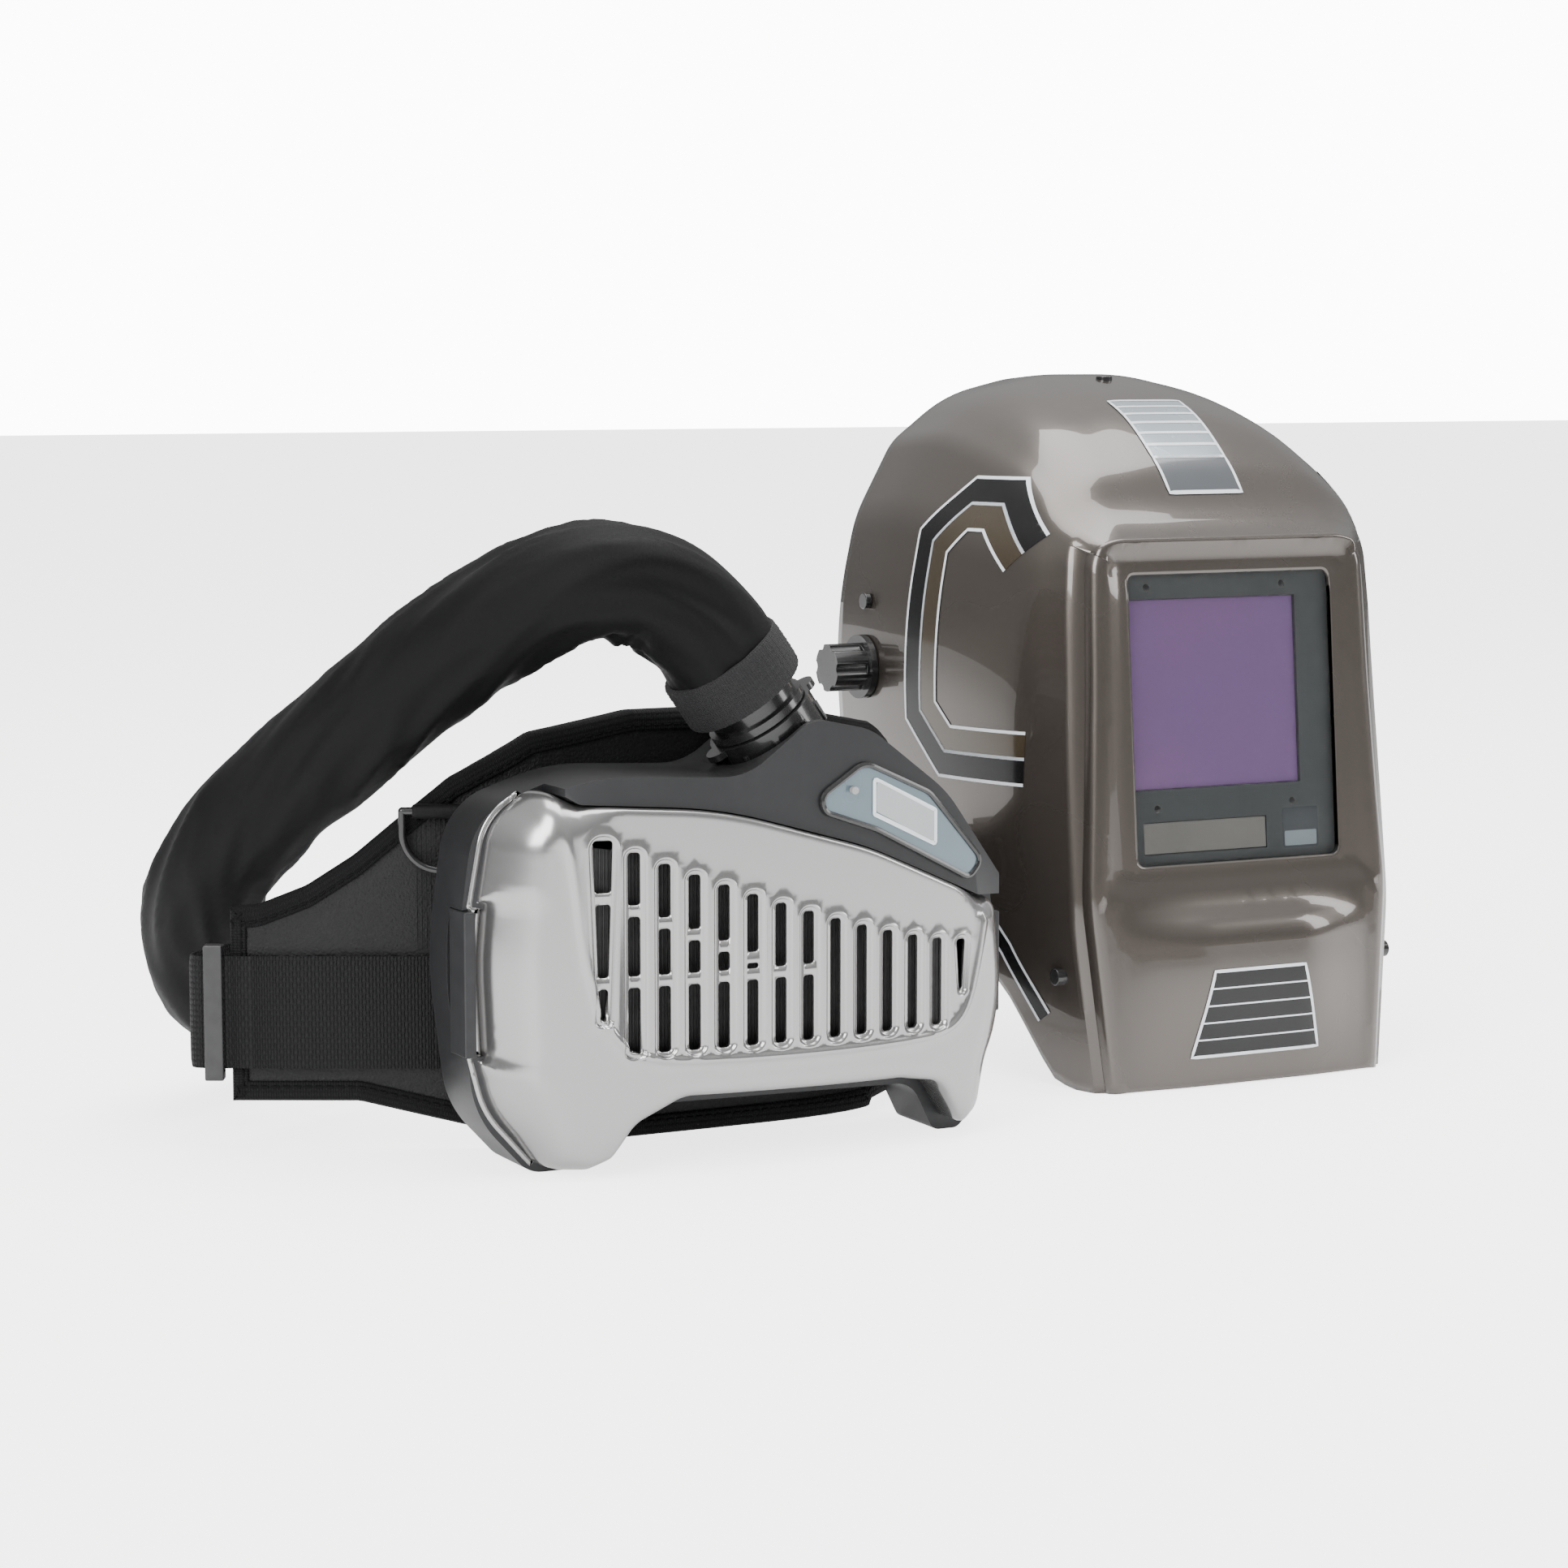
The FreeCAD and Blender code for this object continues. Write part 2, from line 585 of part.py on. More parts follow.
def webbing_parts():
    """Waist webbing, buckle halves and the two slide adjusters."""
    left, right = webbing_paths()
    webs = [ribbon(left, WEB_THICK, WEB_FOOT, WEB_HEAD),
            ribbon(right, WEB_THICK, WEB_FOOT, WEB_HEAD)]
    a = Vector(-52, 214, 0)
    b = Vector(58, 238, 0)
    angle = math.degrees(math.atan2(b.y - a.y, b.x - a.x))
    span = (b - a).Length

    def on_strap(shape):
        shape.rotate(Vector(0, 0, 0), Vector(0, 0, 1), angle)
        shape.translate(a)
        return shape

    female = box(40, span - 1, -7, 7, 33, 89)
    female = female.cut(box(30, 72, -4.4, 4.4, 37, 85))
    female = female.cut(box(84, span - 8, -8, 8, 38, 84))
    male = box(1, 39, -6, 6, 34, 88)
    male = male.cut(box(8, 24, -8, 8, 38, 84))
    prongs = [box(38, 68, -3.4, 3.4, z0, z1) for z0, z1 in ((38.5, 46), (57.5, 64.5), (76, 83.5))]
    male = fuse([male] + prongs)
    sliders = []
    for (x, y), turn in (((-187.4, 129.0), -27.5), ((143.4, 206.2), 100.3)):
        frame = box(-4, 4, -3.4, 3.4, WEB_FOOT - 5, WEB_HEAD + 5)
        frame = frame.cut(box(-5, 5, -1.8, 1.8, WEB_FOOT - 1, WEB_HEAD + 1))
        frame.rotate(Vector(0, 0, 0), Vector(0, 0, 1), turn)
        frame.translate(Vector(x, y, 0))
        sliders.append(frame)
    return {"belt_webbing": Part.makeCompound(webs), "buckle_female": on_strap(female),
            "buckle_male": on_strap(male), "strap_sliders": Part.makeCompound(sliders)}


LEFT_RING_PLACE = Vector(-102.2, 83.4, 147)
LEFT_RING_ALONG = Vector(0.894, -0.448, 0)
RIGHT_RING_PLACE = Vector(150.6, 158, 104)
RIGHT_RING_ALONG = Vector(0, 1, 0)
RING_WIRE_R = 1.7
RING_HALF = 16.0
RING_DROP = 9.0
LOOP_HALF = 12.0
LOOP_DEPTH = 4.0             # how far the loop strips may reach back to the pad


def d_ring(place, along):
    """D-shaped ring: a straight bar with a bow under it, turned to lie along the belt."""
    left = Vector(-RING_HALF, 0, 0)
    right = Vector(RING_HALF, 0, 0)
    down = Vector(0, 0, -1)
    pieces = [rod(left, Vector(1, 0, 0), RING_WIRE_R, 0, 2 * RING_HALF)]
    for corner in (left, right):
        pieces.append(rod(corner, down, RING_WIRE_R, 0, RING_DROP))
        pieces.append(Part.makeSphere(RING_WIRE_R, corner))
    low = left + down * RING_DROP
    section = Part.Face(Part.Wire(Part.makeCircle(RING_WIRE_R, low, down)))
    pieces.append(section.revolve(down * RING_DROP, Vector(0, -1, 0), 180))
    shape = fuse(pieces)
    shape.rotate(Vector(0, 0, 0), Vector(0, 0, 1), math.degrees(math.atan2(along.y, along.x)))
    shape.translate(place)
    return shape


def ring_loop(place, along, foot, pad):
    """Webbing strip sewn on the pad, rolled round the D-ring's bar at its head."""
    across = Vector(0, 0, 1).cross(along)
    half = LOOP_HALF
    roll = ring(place - along * half, along, RING_WIRE_R + 1.6, RING_WIRE_R + 0.35, 0, 2 * half)
    corners = []
    for sign, z in ((-1, place.z + 2), (1, place.z + 2), (1, foot), (-1, foot)):
        point = place + along * (sign * half)
        corners.append(Vector(point.x, point.y, z))
    strip = Part.Face(Part.makePolygon(corners + corners[:1])).extrude(across * LOOP_DEPTH)
    strip.translate(across * (RING_WIRE_R + 1.0))
    return roll.fuse(strip.cut(pad))


def d_ring_parts():
    """Both D-rings and the webbing loops that hold them."""
    pad = pad_body(PAD_THICK + 2.6, 0)
    loops = [ring_loop(LEFT_RING_PLACE, LEFT_RING_ALONG, WEB_HEAD + 2, pad),
             ring_loop(RIGHT_RING_PLACE, RIGHT_RING_ALONG, WEB_HEAD + 2, pad)]
    return {"d_ring_left": d_ring(LEFT_RING_PLACE, LEFT_RING_ALONG),
            "d_ring_right": d_ring(RIGHT_RING_PLACE, RIGHT_RING_ALONG),
            "d_ring_loops": Part.makeCompound(loops)}


# ---------------------------------------------------------------- helmet shell
def station_wire(y, lean, half, shrink):
    """Closed section of the helmet at one distance back, drawn in by a wall thickness."""
    slope = math.tan(math.radians(lean))
    right = []
    for width, z in half:
        width = width - shrink
        if z > WINDOW_CENTRE.z:
            z = z - shrink
        right.append((width, z))
    left = [(-width, z) for width, z in right[::-1]]
    corners = []
    for x, z in right + left:
        corners.append(Vector(HELMET_X + x, y + (z - WINDOW_CENTRE.z) * slope, z))
    return Part.makePolygon(corners + corners[:1])


def helmet_block(shrink):
    """Solid of the helmet's outer or inner surface."""
    wires = []
    for index, (y, lean, half) in enumerate(SHELL_STATIONS):
        setback = shrink * index / (len(SHELL_STATIONS) - 1)
        wires.append(station_wire(y + setback, lean, half, shrink))
    return Part.makeLoft(wires, True, True)


def helmet_shell():
    """Open-backed helmet shell with its window and pivot holes."""
    shell = helmet_block(0).cut(helmet_block(SHELL_WALL))
    cutter = [Vector(0, y, z) for y, z in RIM_CUT]
    below = Part.Face(Part.makePolygon(cutter + cutter[:1])).extrude(Vector(700, 0, 0))
    shell = shell.cut(below)
    shell = shell.cut(box(100, 500, REAR_EDGE_Y, 400, -50, 400))
    shell = shell.cut(on_window(window_block(WINDOW_W, WINDOW_H, -12, 20, 4)))
    shell = shell.cut(rod(PIVOT, Vector(1, 0, 0), 4.05, -140, 140))
    return shell


def window_block(width, height, y0, y1, radius):
    """Upright rounded block in the window's own frame: its face looks along -Y."""
    outline = [(-width / 2, -height / 2, radius), (-width / 2, height / 2, radius),
               (width / 2, height / 2, radius), (width / 2, -height / 2, radius)]
    return prism_y(outline, y0, y1)


def on_window(shape):
    """Move a shape from the window's frame to its place in the helmet."""
    shape.rotate(Vector(0, 0, 0), Vector(1, 0, 0), -WINDOW_LEAN)
    shape.translate(WINDOW_CENTRE)
    return shape


def small_block(x0, x1, y0, y1, z0, z1):
    """Block given in the window's frame."""
    return on_window(box(x0, x1, y0, y1, z0, z1))


def filter_lens_parts():
    """Cover lens, holder, auto-darkening cartridge with its glass, solar cell and dials."""
    holder = window_block(WINDOW_W + 14, WINDOW_H + 14, 4, 15, 6)
    holder = holder.cut(window_block(WINDOW_W + 2, WINDOW_H + 2, 3, 16, 4))
    cartridge = window_block(WINDOW_W + 1, WINDOW_H + 1, 6.2, 14.5, 3)
    viewing = box(-55, 38, 5, 16, -32, 56)
    cartridge = cartridge.cut(viewing)
    solar_seat = box(-50, 18, 5, 8.2, -62, -47)
    cartridge = cartridge.cut(solar_seat)
    dial_axis = Vector(0, 1, 0)
    shade = Part.makeCylinder(9, 5, Vector(-34, 14.9, -55), dial_axis)
    sense = Part.makeCylinder(6.5, 4, Vector(-8, 14.9, -56), dial_axis)
    return {
        "lens_holder": on_window(holder),
        "front_cover_lens": on_window(window_block(WINDOW_W + 1, WINDOW_H + 1, 4.2, 5.9, 3)),
        "adf_cartridge": on_window(cartridge),
        "adf_glass": small_block(-54.8, 37.8, 8, 11, -31.8, 55.8),
        "solar_panel": small_block(-49.6, 17.6, 6.6, 8.0, -61.6, -47.4),
        "inner_cover_lens": small_block(-54.5, 37.5, 12.4, 13.6, -31.5, 55.5),
        "shade_knob": on_window(shade),
        "sensitivity_knob": on_window(sense)}


def shell_studs():
    """Rivet heads on the shell that hold the headgear stop and the face seal."""
    studs = []
    for side in (-1, 1):
        x = HELMET_X + side * (116.6)
        studs.append(Part.makeCylinder(4, 3.2, Vector(x, 222, 219), Vector(side, 0, 0)))
        x = HELMET_X + side * 84
        studs.append(Part.makeCylinder(4, 9, Vector(x, 85, 53), Vector(side, 0, 0)))
    studs.append(Part.makeCylinder(4, 3.4, Vector(HELMET_X, 196, 323.6), Vector(0, 0, 1)))
    outside = helmet_block(0)
    return Part.makeCompound([stud.cut(outside) for stud in studs])


def face_seal():
    """Fabric skirt inside the lower helmet that closes the gap round the chin."""
    path = [(HELMET_X - 98, 196), (HELMET_X - 94, 140), (HELMET_X - 80, 106),
            (HELMET_X - 50, 99), (HELMET_X + 50, 99), (HELMET_X + 80, 106),
            (HELMET_X + 94, 140), (HELMET_X + 98, 196)]
    return ribbon(smooth(path), 2.4, 96, 124)


# ---------------------------------------------------------------- headgear
BAND_HALF = 81.0
BAND_Z0 = 200.0
BAND_Z1 = 226.0


def head_bands():
    """Front and rear head bands, the sweat pad, crown straps and the ratchet."""
    front = ellipse_arc(HELMET_X, 205, BAND_HALF, 92, 180, 360, 24)
    front = [(HELMET_X - BAND_HALF, 245)] + front + [(HELMET_X + BAND_HALF, 245)]
    rear_half = BAND_HALF + 3.6
    rear = ellipse_arc(HELMET_X, 262, rear_half, 52, 180, 0, 20)
    rear = [(HELMET_X - rear_half, 226)] + rear + [(HELMET_X + rear_half, 226)]
    pad = ellipse_arc(HELMET_X, 205, BAND_HALF - 5.3, 86.7, 215, 325, 16)
    straps = []
    for y in (196.0, 248.0):
        height = 58.0 if y < 220 else 50.0
        outer = strap_arch(y, BAND_HALF + 1.3, height + 1.8)
        inner = strap_arch(y, BAND_HALF - 0.7, height)
        corners = outer + inner[::-1]
        face = Part.Face(Part.makePolygon(corners + corners[:1]))
        straps.append(face.extrude(Vector(0, 16, 0)))
    straps[1].translate(Vector(0, -20, 0))
    housing = box(HELMET_X - 26, HELMET_X + 26, 300, 322, 196, 230)
    behind = ellipse_arc(HELMET_X, 262, rear_half + 1.3, 53.3, 180, 0, 40)
    corners = [Vector(x, y, 180) for x, y in behind]
    inside_band = Part.Face(Part.makePolygon(corners + corners[:1]))
    housing = housing.cut(inside_band.extrude(Vector(0, 0, 80)))
    knob = rod(Vector(HELMET_X, 0, 213), Vector(0, 1, 0), 14.5, 322.3, 330.5)
    return {"headband_front": ribbon(front, 2.4, BAND_Z0, BAND_Z1),
            "headband_rear": ribbon(rear, 2.4, BAND_Z0 - 1, BAND_Z1 + 1),
            "brow_pad": ribbon(pad, 7, BAND_Z0 - 2, BAND_Z1 + 4),
            "crown_straps": Part.makeCompound(straps),
            "ratchet_housing": housing, "ratchet_knob": knob}


def strap_arch(y, half, height):
    """Points of a half ellipse over the head, from one band side to the other."""
    points = []
    for step in range(25):
        angle = math.pi * step / 24
        x = HELMET_X - half * math.cos(angle)
        points.append(Vector(x, y, BAND_Z1 + 0.1 + height * math.sin(angle)))
    return points


def pivot_parts():
    """Side brackets, pivot bolts and tension knobs, mirrored left and right."""
    parts = {}
    bolts = []
    brackets = []
    for side, word in ((-1, "left"), (1, "right")):
        axis = Vector(side, 0, 0)
        disc = rod(PIVOT, axis, 37, 108, 111.5)
        arm_x = sorted((HELMET_X + side * (BAND_HALF + 1.25), HELMET_X + side * 109))
        arm = box(arm_x[0], arm_x[1], 192, 210, 190, 214)
        bracket = disc.fuse(arm).removeSplitter()
        brackets.append(bracket.cut(rod(PIVOT, axis, 4, 100, 120)))
        bolts.append(rod(PIVOT, axis, 4, 105, 134).fuse(rod(PIVOT, axis, 7, 104, 107.9)))
        knob = rod(PIVOT, axis, 15.5, KNOB_SEAT, KNOB_SEAT + 3.2)
        knob = knob.fuse(rod(PIVOT, axis, 11.5, KNOB_SEAT + 3.2, KNOB_SEAT + 20))
        for index in range(6):
            angle = math.radians(60 * index)
            groove = PIVOT + Vector(0, math.cos(angle) * 13.2, math.sin(angle) * 13.2)
            knob = knob.cut(rod(groove, axis, 3.4, KNOB_SEAT + 4, KNOB_SEAT + 21))
        parts["tension_knob_" + word] = knob.cut(rod(PIVOT, axis, 4.05, 100, 135))
    parts["pivot_bolts"] = Part.makeCompound(bolts)
    parts["pivot_brackets"] = Part.makeCompound(brackets)
    return parts


def duct_section(y, z, tilt, half_width, half_depth):
    """Rectangle across the head duct: tilt is its direction of flow from level."""
    angle = math.radians(tilt)
    up = Vector(0, -math.sin(angle), math.cos(angle))
    centre = Vector(HELMET_X, y, z)
    side = Vector(half_width, 0, 0)
    corners = [centre - side - up * half_depth, centre + side - up * half_depth,
               centre + side + up * half_depth, centre - side + up * half_depth]
    return Part.makePolygon(corners + corners[:1])


DUCT_ROUTE = [
    (353, 221, 116, 19, 16), (343, 238, 125, 22, 12), (322, 264, 143, 25, 8),
    (286, 289, 160, 27, 7), (240, 301, 176, 28, 7), (190, 296, 193, 28, 7),
    (150, 272, 215, 28, 7), (136, 254, 235, 28, 7)]


def air_duct():
    """Head duct: round socket at the back, flat channel over the crown to the brow."""
    outer = Part.makeLoft([duct_section(*row) for row in DUCT_ROUTE], True, True)
    thin = [(y, z, tilt, half - 1.6, depth - 1.6) for y, z, tilt, half, depth in DUCT_ROUTE]
    inner = Part.makeLoft([duct_section(*row) for row in thin], True, True)
    socket = rod(INLET_END, INLET_DIR, 20.5, 22.3, 36)
    duct = outer.fuse(socket).cut(inner)
    return duct.cut(rod(INLET_END, INLET_DIR, 16, 20, 40))


def belt_bracket():
    """Plate with two hooks that hangs the blower on the belt pad."""
    base = box(UNIT_X - 45, UNIT_X + 45, UNIT_BACK, UNIT_BACK + 3.2, 60, 130)
    return base


# ---------------------------------------------------------------- assembly
CORD_NODES = ("air_hose", "hose_sleeve")


def all_parts():
    """Every named piece, in the layout frame."""
    parts = {"rear_housing": unit_shell(), "front_cover": front_cover(),
             "cover_latch_left": cover_latch(-1), "cover_latch_right": cover_latch(1),
             "housing_screws": housing_screws(), "belt_bracket": belt_bracket(),
             "helmet_shell": helmet_shell(), "shell_studs": shell_studs(),
             "face_seal": face_seal(), "air_duct": air_duct()}
    for group in (filter_stack(), panel_parts(), fan_parts(), electronics(), hose_parts(),
                  hose_end_parts(), belt_pad_parts(), webbing_parts(), d_ring_parts(),
                  filter_lens_parts(), head_bands(), pivot_parts()):
        parts.update(group)
    return parts


def footprint_middle(parts):
    """Middle of the footprint of everything but the free hose."""
    extent = FreeCAD.BoundBox()
    for name, shape in parts.items():
        if name not in CORD_NODES:
            extent.add(shape.optimalBoundingBox(False))
    print("box", [round(v, 2) for v in (extent.XMin, extent.XMax, extent.YMin, extent.YMax,
                                        extent.ZMin, extent.ZMax)])
    return Vector(round(extent.Center.x, 1), round(extent.Center.y, 1), 0)


def main():
    """Build, place and export every piece."""
    os.makedirs("parts", exist_ok=True)
    parts = all_parts()
    middle = footprint_middle(parts)
    print("layout zero is moved by", -middle.x, -middle.y)
    for name, shape in parts.items():
        shape.translate(middle * -1)
        valid = shape.isValid()
        print(name, "solids", len(shape.Solids), "volume", round(shape.Volume), "valid", valid)
        shape.exportStep("parts/" + name + ".step")
    print("nodes", len(parts))


main()
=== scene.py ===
"""Looks of a powered air respirator: belt blower, sleeved breathing hose and welding helmet.

Sizes are millimetres in the design layout, whose zero is on the floor under the blower's
front.  `Workshop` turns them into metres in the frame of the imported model.
"""

import json
import logging
import math
from dataclasses import dataclass, field
from enum import Enum
from typing import Sequence

import bmesh
import bpy
import numpy as np
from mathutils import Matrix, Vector, geometry, noise
from mathutils.bvhtree import BVHTree

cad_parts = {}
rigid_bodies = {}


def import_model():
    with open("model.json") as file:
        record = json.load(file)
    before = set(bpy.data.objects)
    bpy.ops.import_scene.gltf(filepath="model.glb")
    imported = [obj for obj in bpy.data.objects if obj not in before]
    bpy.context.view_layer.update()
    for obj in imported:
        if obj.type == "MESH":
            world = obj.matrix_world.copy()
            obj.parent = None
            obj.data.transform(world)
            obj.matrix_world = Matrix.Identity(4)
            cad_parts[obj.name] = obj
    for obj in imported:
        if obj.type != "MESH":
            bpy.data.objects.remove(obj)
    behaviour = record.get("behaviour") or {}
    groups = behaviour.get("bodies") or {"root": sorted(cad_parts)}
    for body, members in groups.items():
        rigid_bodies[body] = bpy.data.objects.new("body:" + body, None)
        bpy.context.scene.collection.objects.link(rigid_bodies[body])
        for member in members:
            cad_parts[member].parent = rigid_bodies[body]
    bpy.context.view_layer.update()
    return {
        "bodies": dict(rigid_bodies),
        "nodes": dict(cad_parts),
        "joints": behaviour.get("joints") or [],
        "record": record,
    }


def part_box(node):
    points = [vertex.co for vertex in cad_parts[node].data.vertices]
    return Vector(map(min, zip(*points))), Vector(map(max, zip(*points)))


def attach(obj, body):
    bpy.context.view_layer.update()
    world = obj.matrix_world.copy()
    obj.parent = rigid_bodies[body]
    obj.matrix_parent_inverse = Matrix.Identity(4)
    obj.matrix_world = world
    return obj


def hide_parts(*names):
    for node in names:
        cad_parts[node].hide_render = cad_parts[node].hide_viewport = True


LOG = logging.getLogger("respirator")
Point2 = tuple[float, float]
Point3 = tuple[float, float, float]
MM = 0.001


# ------------------------------------------------------------------ drawing in the plane
def rounded(points: Sequence[tuple[float, float, float]], step: float = 1.2) -> list[Point2]:
    """Closed outline whose corners are arcs.

    Args:
        points: corners as (x, z, radius), in order round the outline.
        step: length of the chords along each arc.

    Returns:
        The outline's points, without a repeated last one.
    """
    loop: list[Point2] = []
    count = len(points)
    for index, (x, z, radius) in enumerate(points):
        here = np.array((x, z))
        before = np.array(points[index - 1][:2]) - here
        after = np.array(points[(index + 1) % count][:2]) - here
        shorter = min(np.hypot(*before), np.hypot(*after))
        before = before / np.hypot(*before)
        after = after / np.hypot(*after)
        half = math.acos(max(-1.0, min(1.0, float(before @ after)))) / 2
        reach = min(radius / math.tan(half), 0.46 * shorter)
        radius = reach * math.tan(half)
        middle = (before + after) / np.hypot(*(before + after))
        centre = here + middle * radius / math.sin(half)
        start = here + before * reach - centre
        end = here + after * reach - centre
        sweep = math.pi - 2 * half
        turn = math.copysign(sweep, start[0] * end[1] - start[1] * end[0])
        steps = max(2, min(40, int(abs(sweep) * radius / step) + 1))
        for k in range(steps + 1):
            angle = turn * k / steps
            c, s = math.cos(angle), math.sin(angle)
            loop.append((centre[0] + c * start[0] - s * start[1],
                         centre[1] + s * start[0] + c * start[1]))
    return loop


def resampled(points: Sequence[Sequence[float]], step: float,
              closed: bool = False) -> list[np.ndarray]:
    """The polyline with extra points, so that no run is longer than a step."""
    line = [np.array(p, float) for p in points]
    if closed:
        line.append(line[0])
    out: list[np.ndarray] = []
    for a, b in zip(line, line[1:]):
        pieces = max(1, math.ceil(float(np.linalg.norm(b - a)) / step))
        for k in range(pieces):
            out.append(a + (b - a) * k / pieces)
    if not closed:
        out.append(line[-1])
    return out


def softened(points: Sequence[Sequence[float]], rounds: int = 2,
             closed: bool = False) -> list[np.ndarray]:
    """Corner-cut polyline; an open one keeps its two ends."""
    line = [np.array(p, float) for p in points]
    for _ in range(rounds):
        pairs = list(zip(line, line[1:] + line[:1])) if closed else list(zip(line, line[1:]))
        cut = [] if closed else [line[0]]
        for a, b in pairs:
            cut.append(0.75 * a + 0.25 * b)
            cut.append(0.25 * a + 0.75 * b)
        if not closed:
            cut.append(line[-1])
        line = cut
    return line


def beside(points: Sequence[Sequence[float]], distance: float,
           closed: bool = False) -> list[np.ndarray]:
    """The polyline moved sideways: positive is to the right of its direction."""
    line = [np.array(p, float)[:2] for p in points]
    count = len(line)
    moved = []
    for index, p in enumerate(line):
        a = line[(index - 1) % count] if closed or index else p
        b = line[(index + 1) % count] if closed or index < count - 1 else p
        d = b - a
        d = d / max(float(np.hypot(*d)), 1e-9)
        moved.append(p + distance * np.array((d[1], -d[0])))
    return moved


def distance_to(points: np.ndarray, line: Sequence[Sequence[float]],
                closed: bool = False) -> np.ndarray:
    """Least distance from each point to a polyline."""
    corners = [np.array(p, float)[:2] for p in line]
    if closed:
        corners.append(corners[0])
    best = np.full(len(points), 1e9)
    for a, b in zip(corners, corners[1:]):
        run = b - a
        share = np.clip(((points - a) @ run) / max(float(run @ run), 1e-12), 0, 1)
        gap = points - (a + share[:, None] * run)
        best = np.minimum(best, np.hypot(gap[:, 0], gap[:, 1]))
    return best


def inside(points: np.ndarray, loop: Sequence[Sequence[float]]) -> np.ndarray:
    """True for each point within a closed outline."""
    x, z = points[:, 0], points[:, 1]
    result = np.zeros(len(points), bool)
    count = len(loop)
    for index in range(count):
        ax, az = loop[index][0], loop[index][1]
        bx, bz = loop[(index + 1) % count][0], loop[(index + 1) % count][1]
        if az == bz:
            continue
        crosses = (az > z) != (bz > z)
        result ^= crosses & (x < (bx - ax) * (z - az) / (bz - az) + ax)
    return result


def smoothstep(value: np.ndarray) -> np.ndarray:
    """Soft ramp from 0 to 1 over the same range."""
    t = np.clip(value, 0.0, 1.0)
    return t * t * (3 - 2 * t)


def relief(outline: Sequence[Sequence[float]], holes: Sequence[Sequence[Sequence[float]]],
           guides: Sequence[tuple[Sequence[Sequence[float]], bool]],
           spacing: float) -> tuple[np.ndarray, list[tuple[int, ...]]]:
    """Triangles that fill an outline, follow guide lines and leave holes open.

    Args:
        outline: closed outer loop.
        holes: closed loops left open.
        guides: (line, closed) pairs whose runs become mesh edges.
        spacing: pitch of the plain grid between the lines.

    Returns:
        The points in the plane and the triangles.
    """
    points: list[Point2] = []
    edges: list[tuple[int, int]] = []

    def add(line: Sequence[Sequence[float]], closed: bool) -> None:
        first = len(points)
        points.extend((float(p[0]), float(p[1])) for p in line)
        last = len(points)
        edges.extend((k, k + 1) for k in range(first, last - 1))
        if closed:
            edges.append((last - 1, first))

    add(outline, True)
    for hole in holes:
        add(hole, True)
    for line, closed in guides:
        add(line, closed)
    drawn = np.array(points)
    low, high = np.min(np.array(outline, float), 0), np.max(np.array(outline, float), 0)
    xs = np.arange(low[0] + spacing / 2, high[0], spacing)
    zs = np.arange(low[1] + spacing / 2, high[1], spacing)
    grid = np.array([(x, z) for x in xs for z in zs])
    grid = grid[inside(grid, outline)]
    near = np.array([np.min(np.hypot(drawn[:, 0] - x, drawn[:, 1] - z)) for x, z in grid])
    points.extend((float(x), float(z)) for x, z in grid[near > spacing * 0.45])
    done = geometry.delaunay_2d_cdt([Vector(p) for p in points], edges, [], 0, 1e-4)
    verts = np.array([(v.x, v.y) for v in done[0]])
    faces = [tuple(f) for f in done[2]]
    middles = np.array([verts[list(f)].mean(0) for f in faces])
    keep = inside(middles, outline)
    for hole in holes:
        keep &= ~inside(middles, hole)
    return verts, [f for f, k in zip(faces, keep) if k]


# ------------------------------------------------------------------ shader groups
def put(tree: bpy.types.NodeTree, kind: str, inputs: dict | None = None,
        **settings: object) -> bpy.types.Node:
    """Add a node, set its options, and set or link its inputs."""
    node = tree.nodes.new(kind)
    for name, value in settings.items():
        setattr(node, name, value)
    for key, value in (inputs or {}).items():
        if isinstance(value, bpy.types.NodeSocket):
            tree.links.new(value, node.inputs[key])
        else:
            node.inputs[key].default_value = value
    return node


def calc(tree: bpy.types.NodeTree, operation: str, *values: object) -> bpy.types.NodeSocket:
    """Result socket of a Math node."""
    node = put(tree, "ShaderNodeMath", dict(enumerate(values)), operation=operation)
    return node.outputs[0]


def new_group(name: str, inputs: dict[str, tuple[str, object]],
              outputs: Sequence[str]) -> tuple[bpy.types.NodeTree, bpy.types.Node, bpy.types.Node]:
    """Empty shader group with named sockets."""
    tree = bpy.data.node_groups.new(name, "ShaderNodeTree")
    for label, (kind, default) in inputs.items():
        socket = tree.interface.new_socket(label, in_out="INPUT", socket_type=kind)
        if default is not None:
            socket.default_value = default
    for label in outputs:
        tree.interface.new_socket(label, in_out="OUTPUT", socket_type="NodeSocketFloat")
    return tree, tree.nodes.new("NodeGroupInput"), tree.nodes.new("NodeGroupOutput")


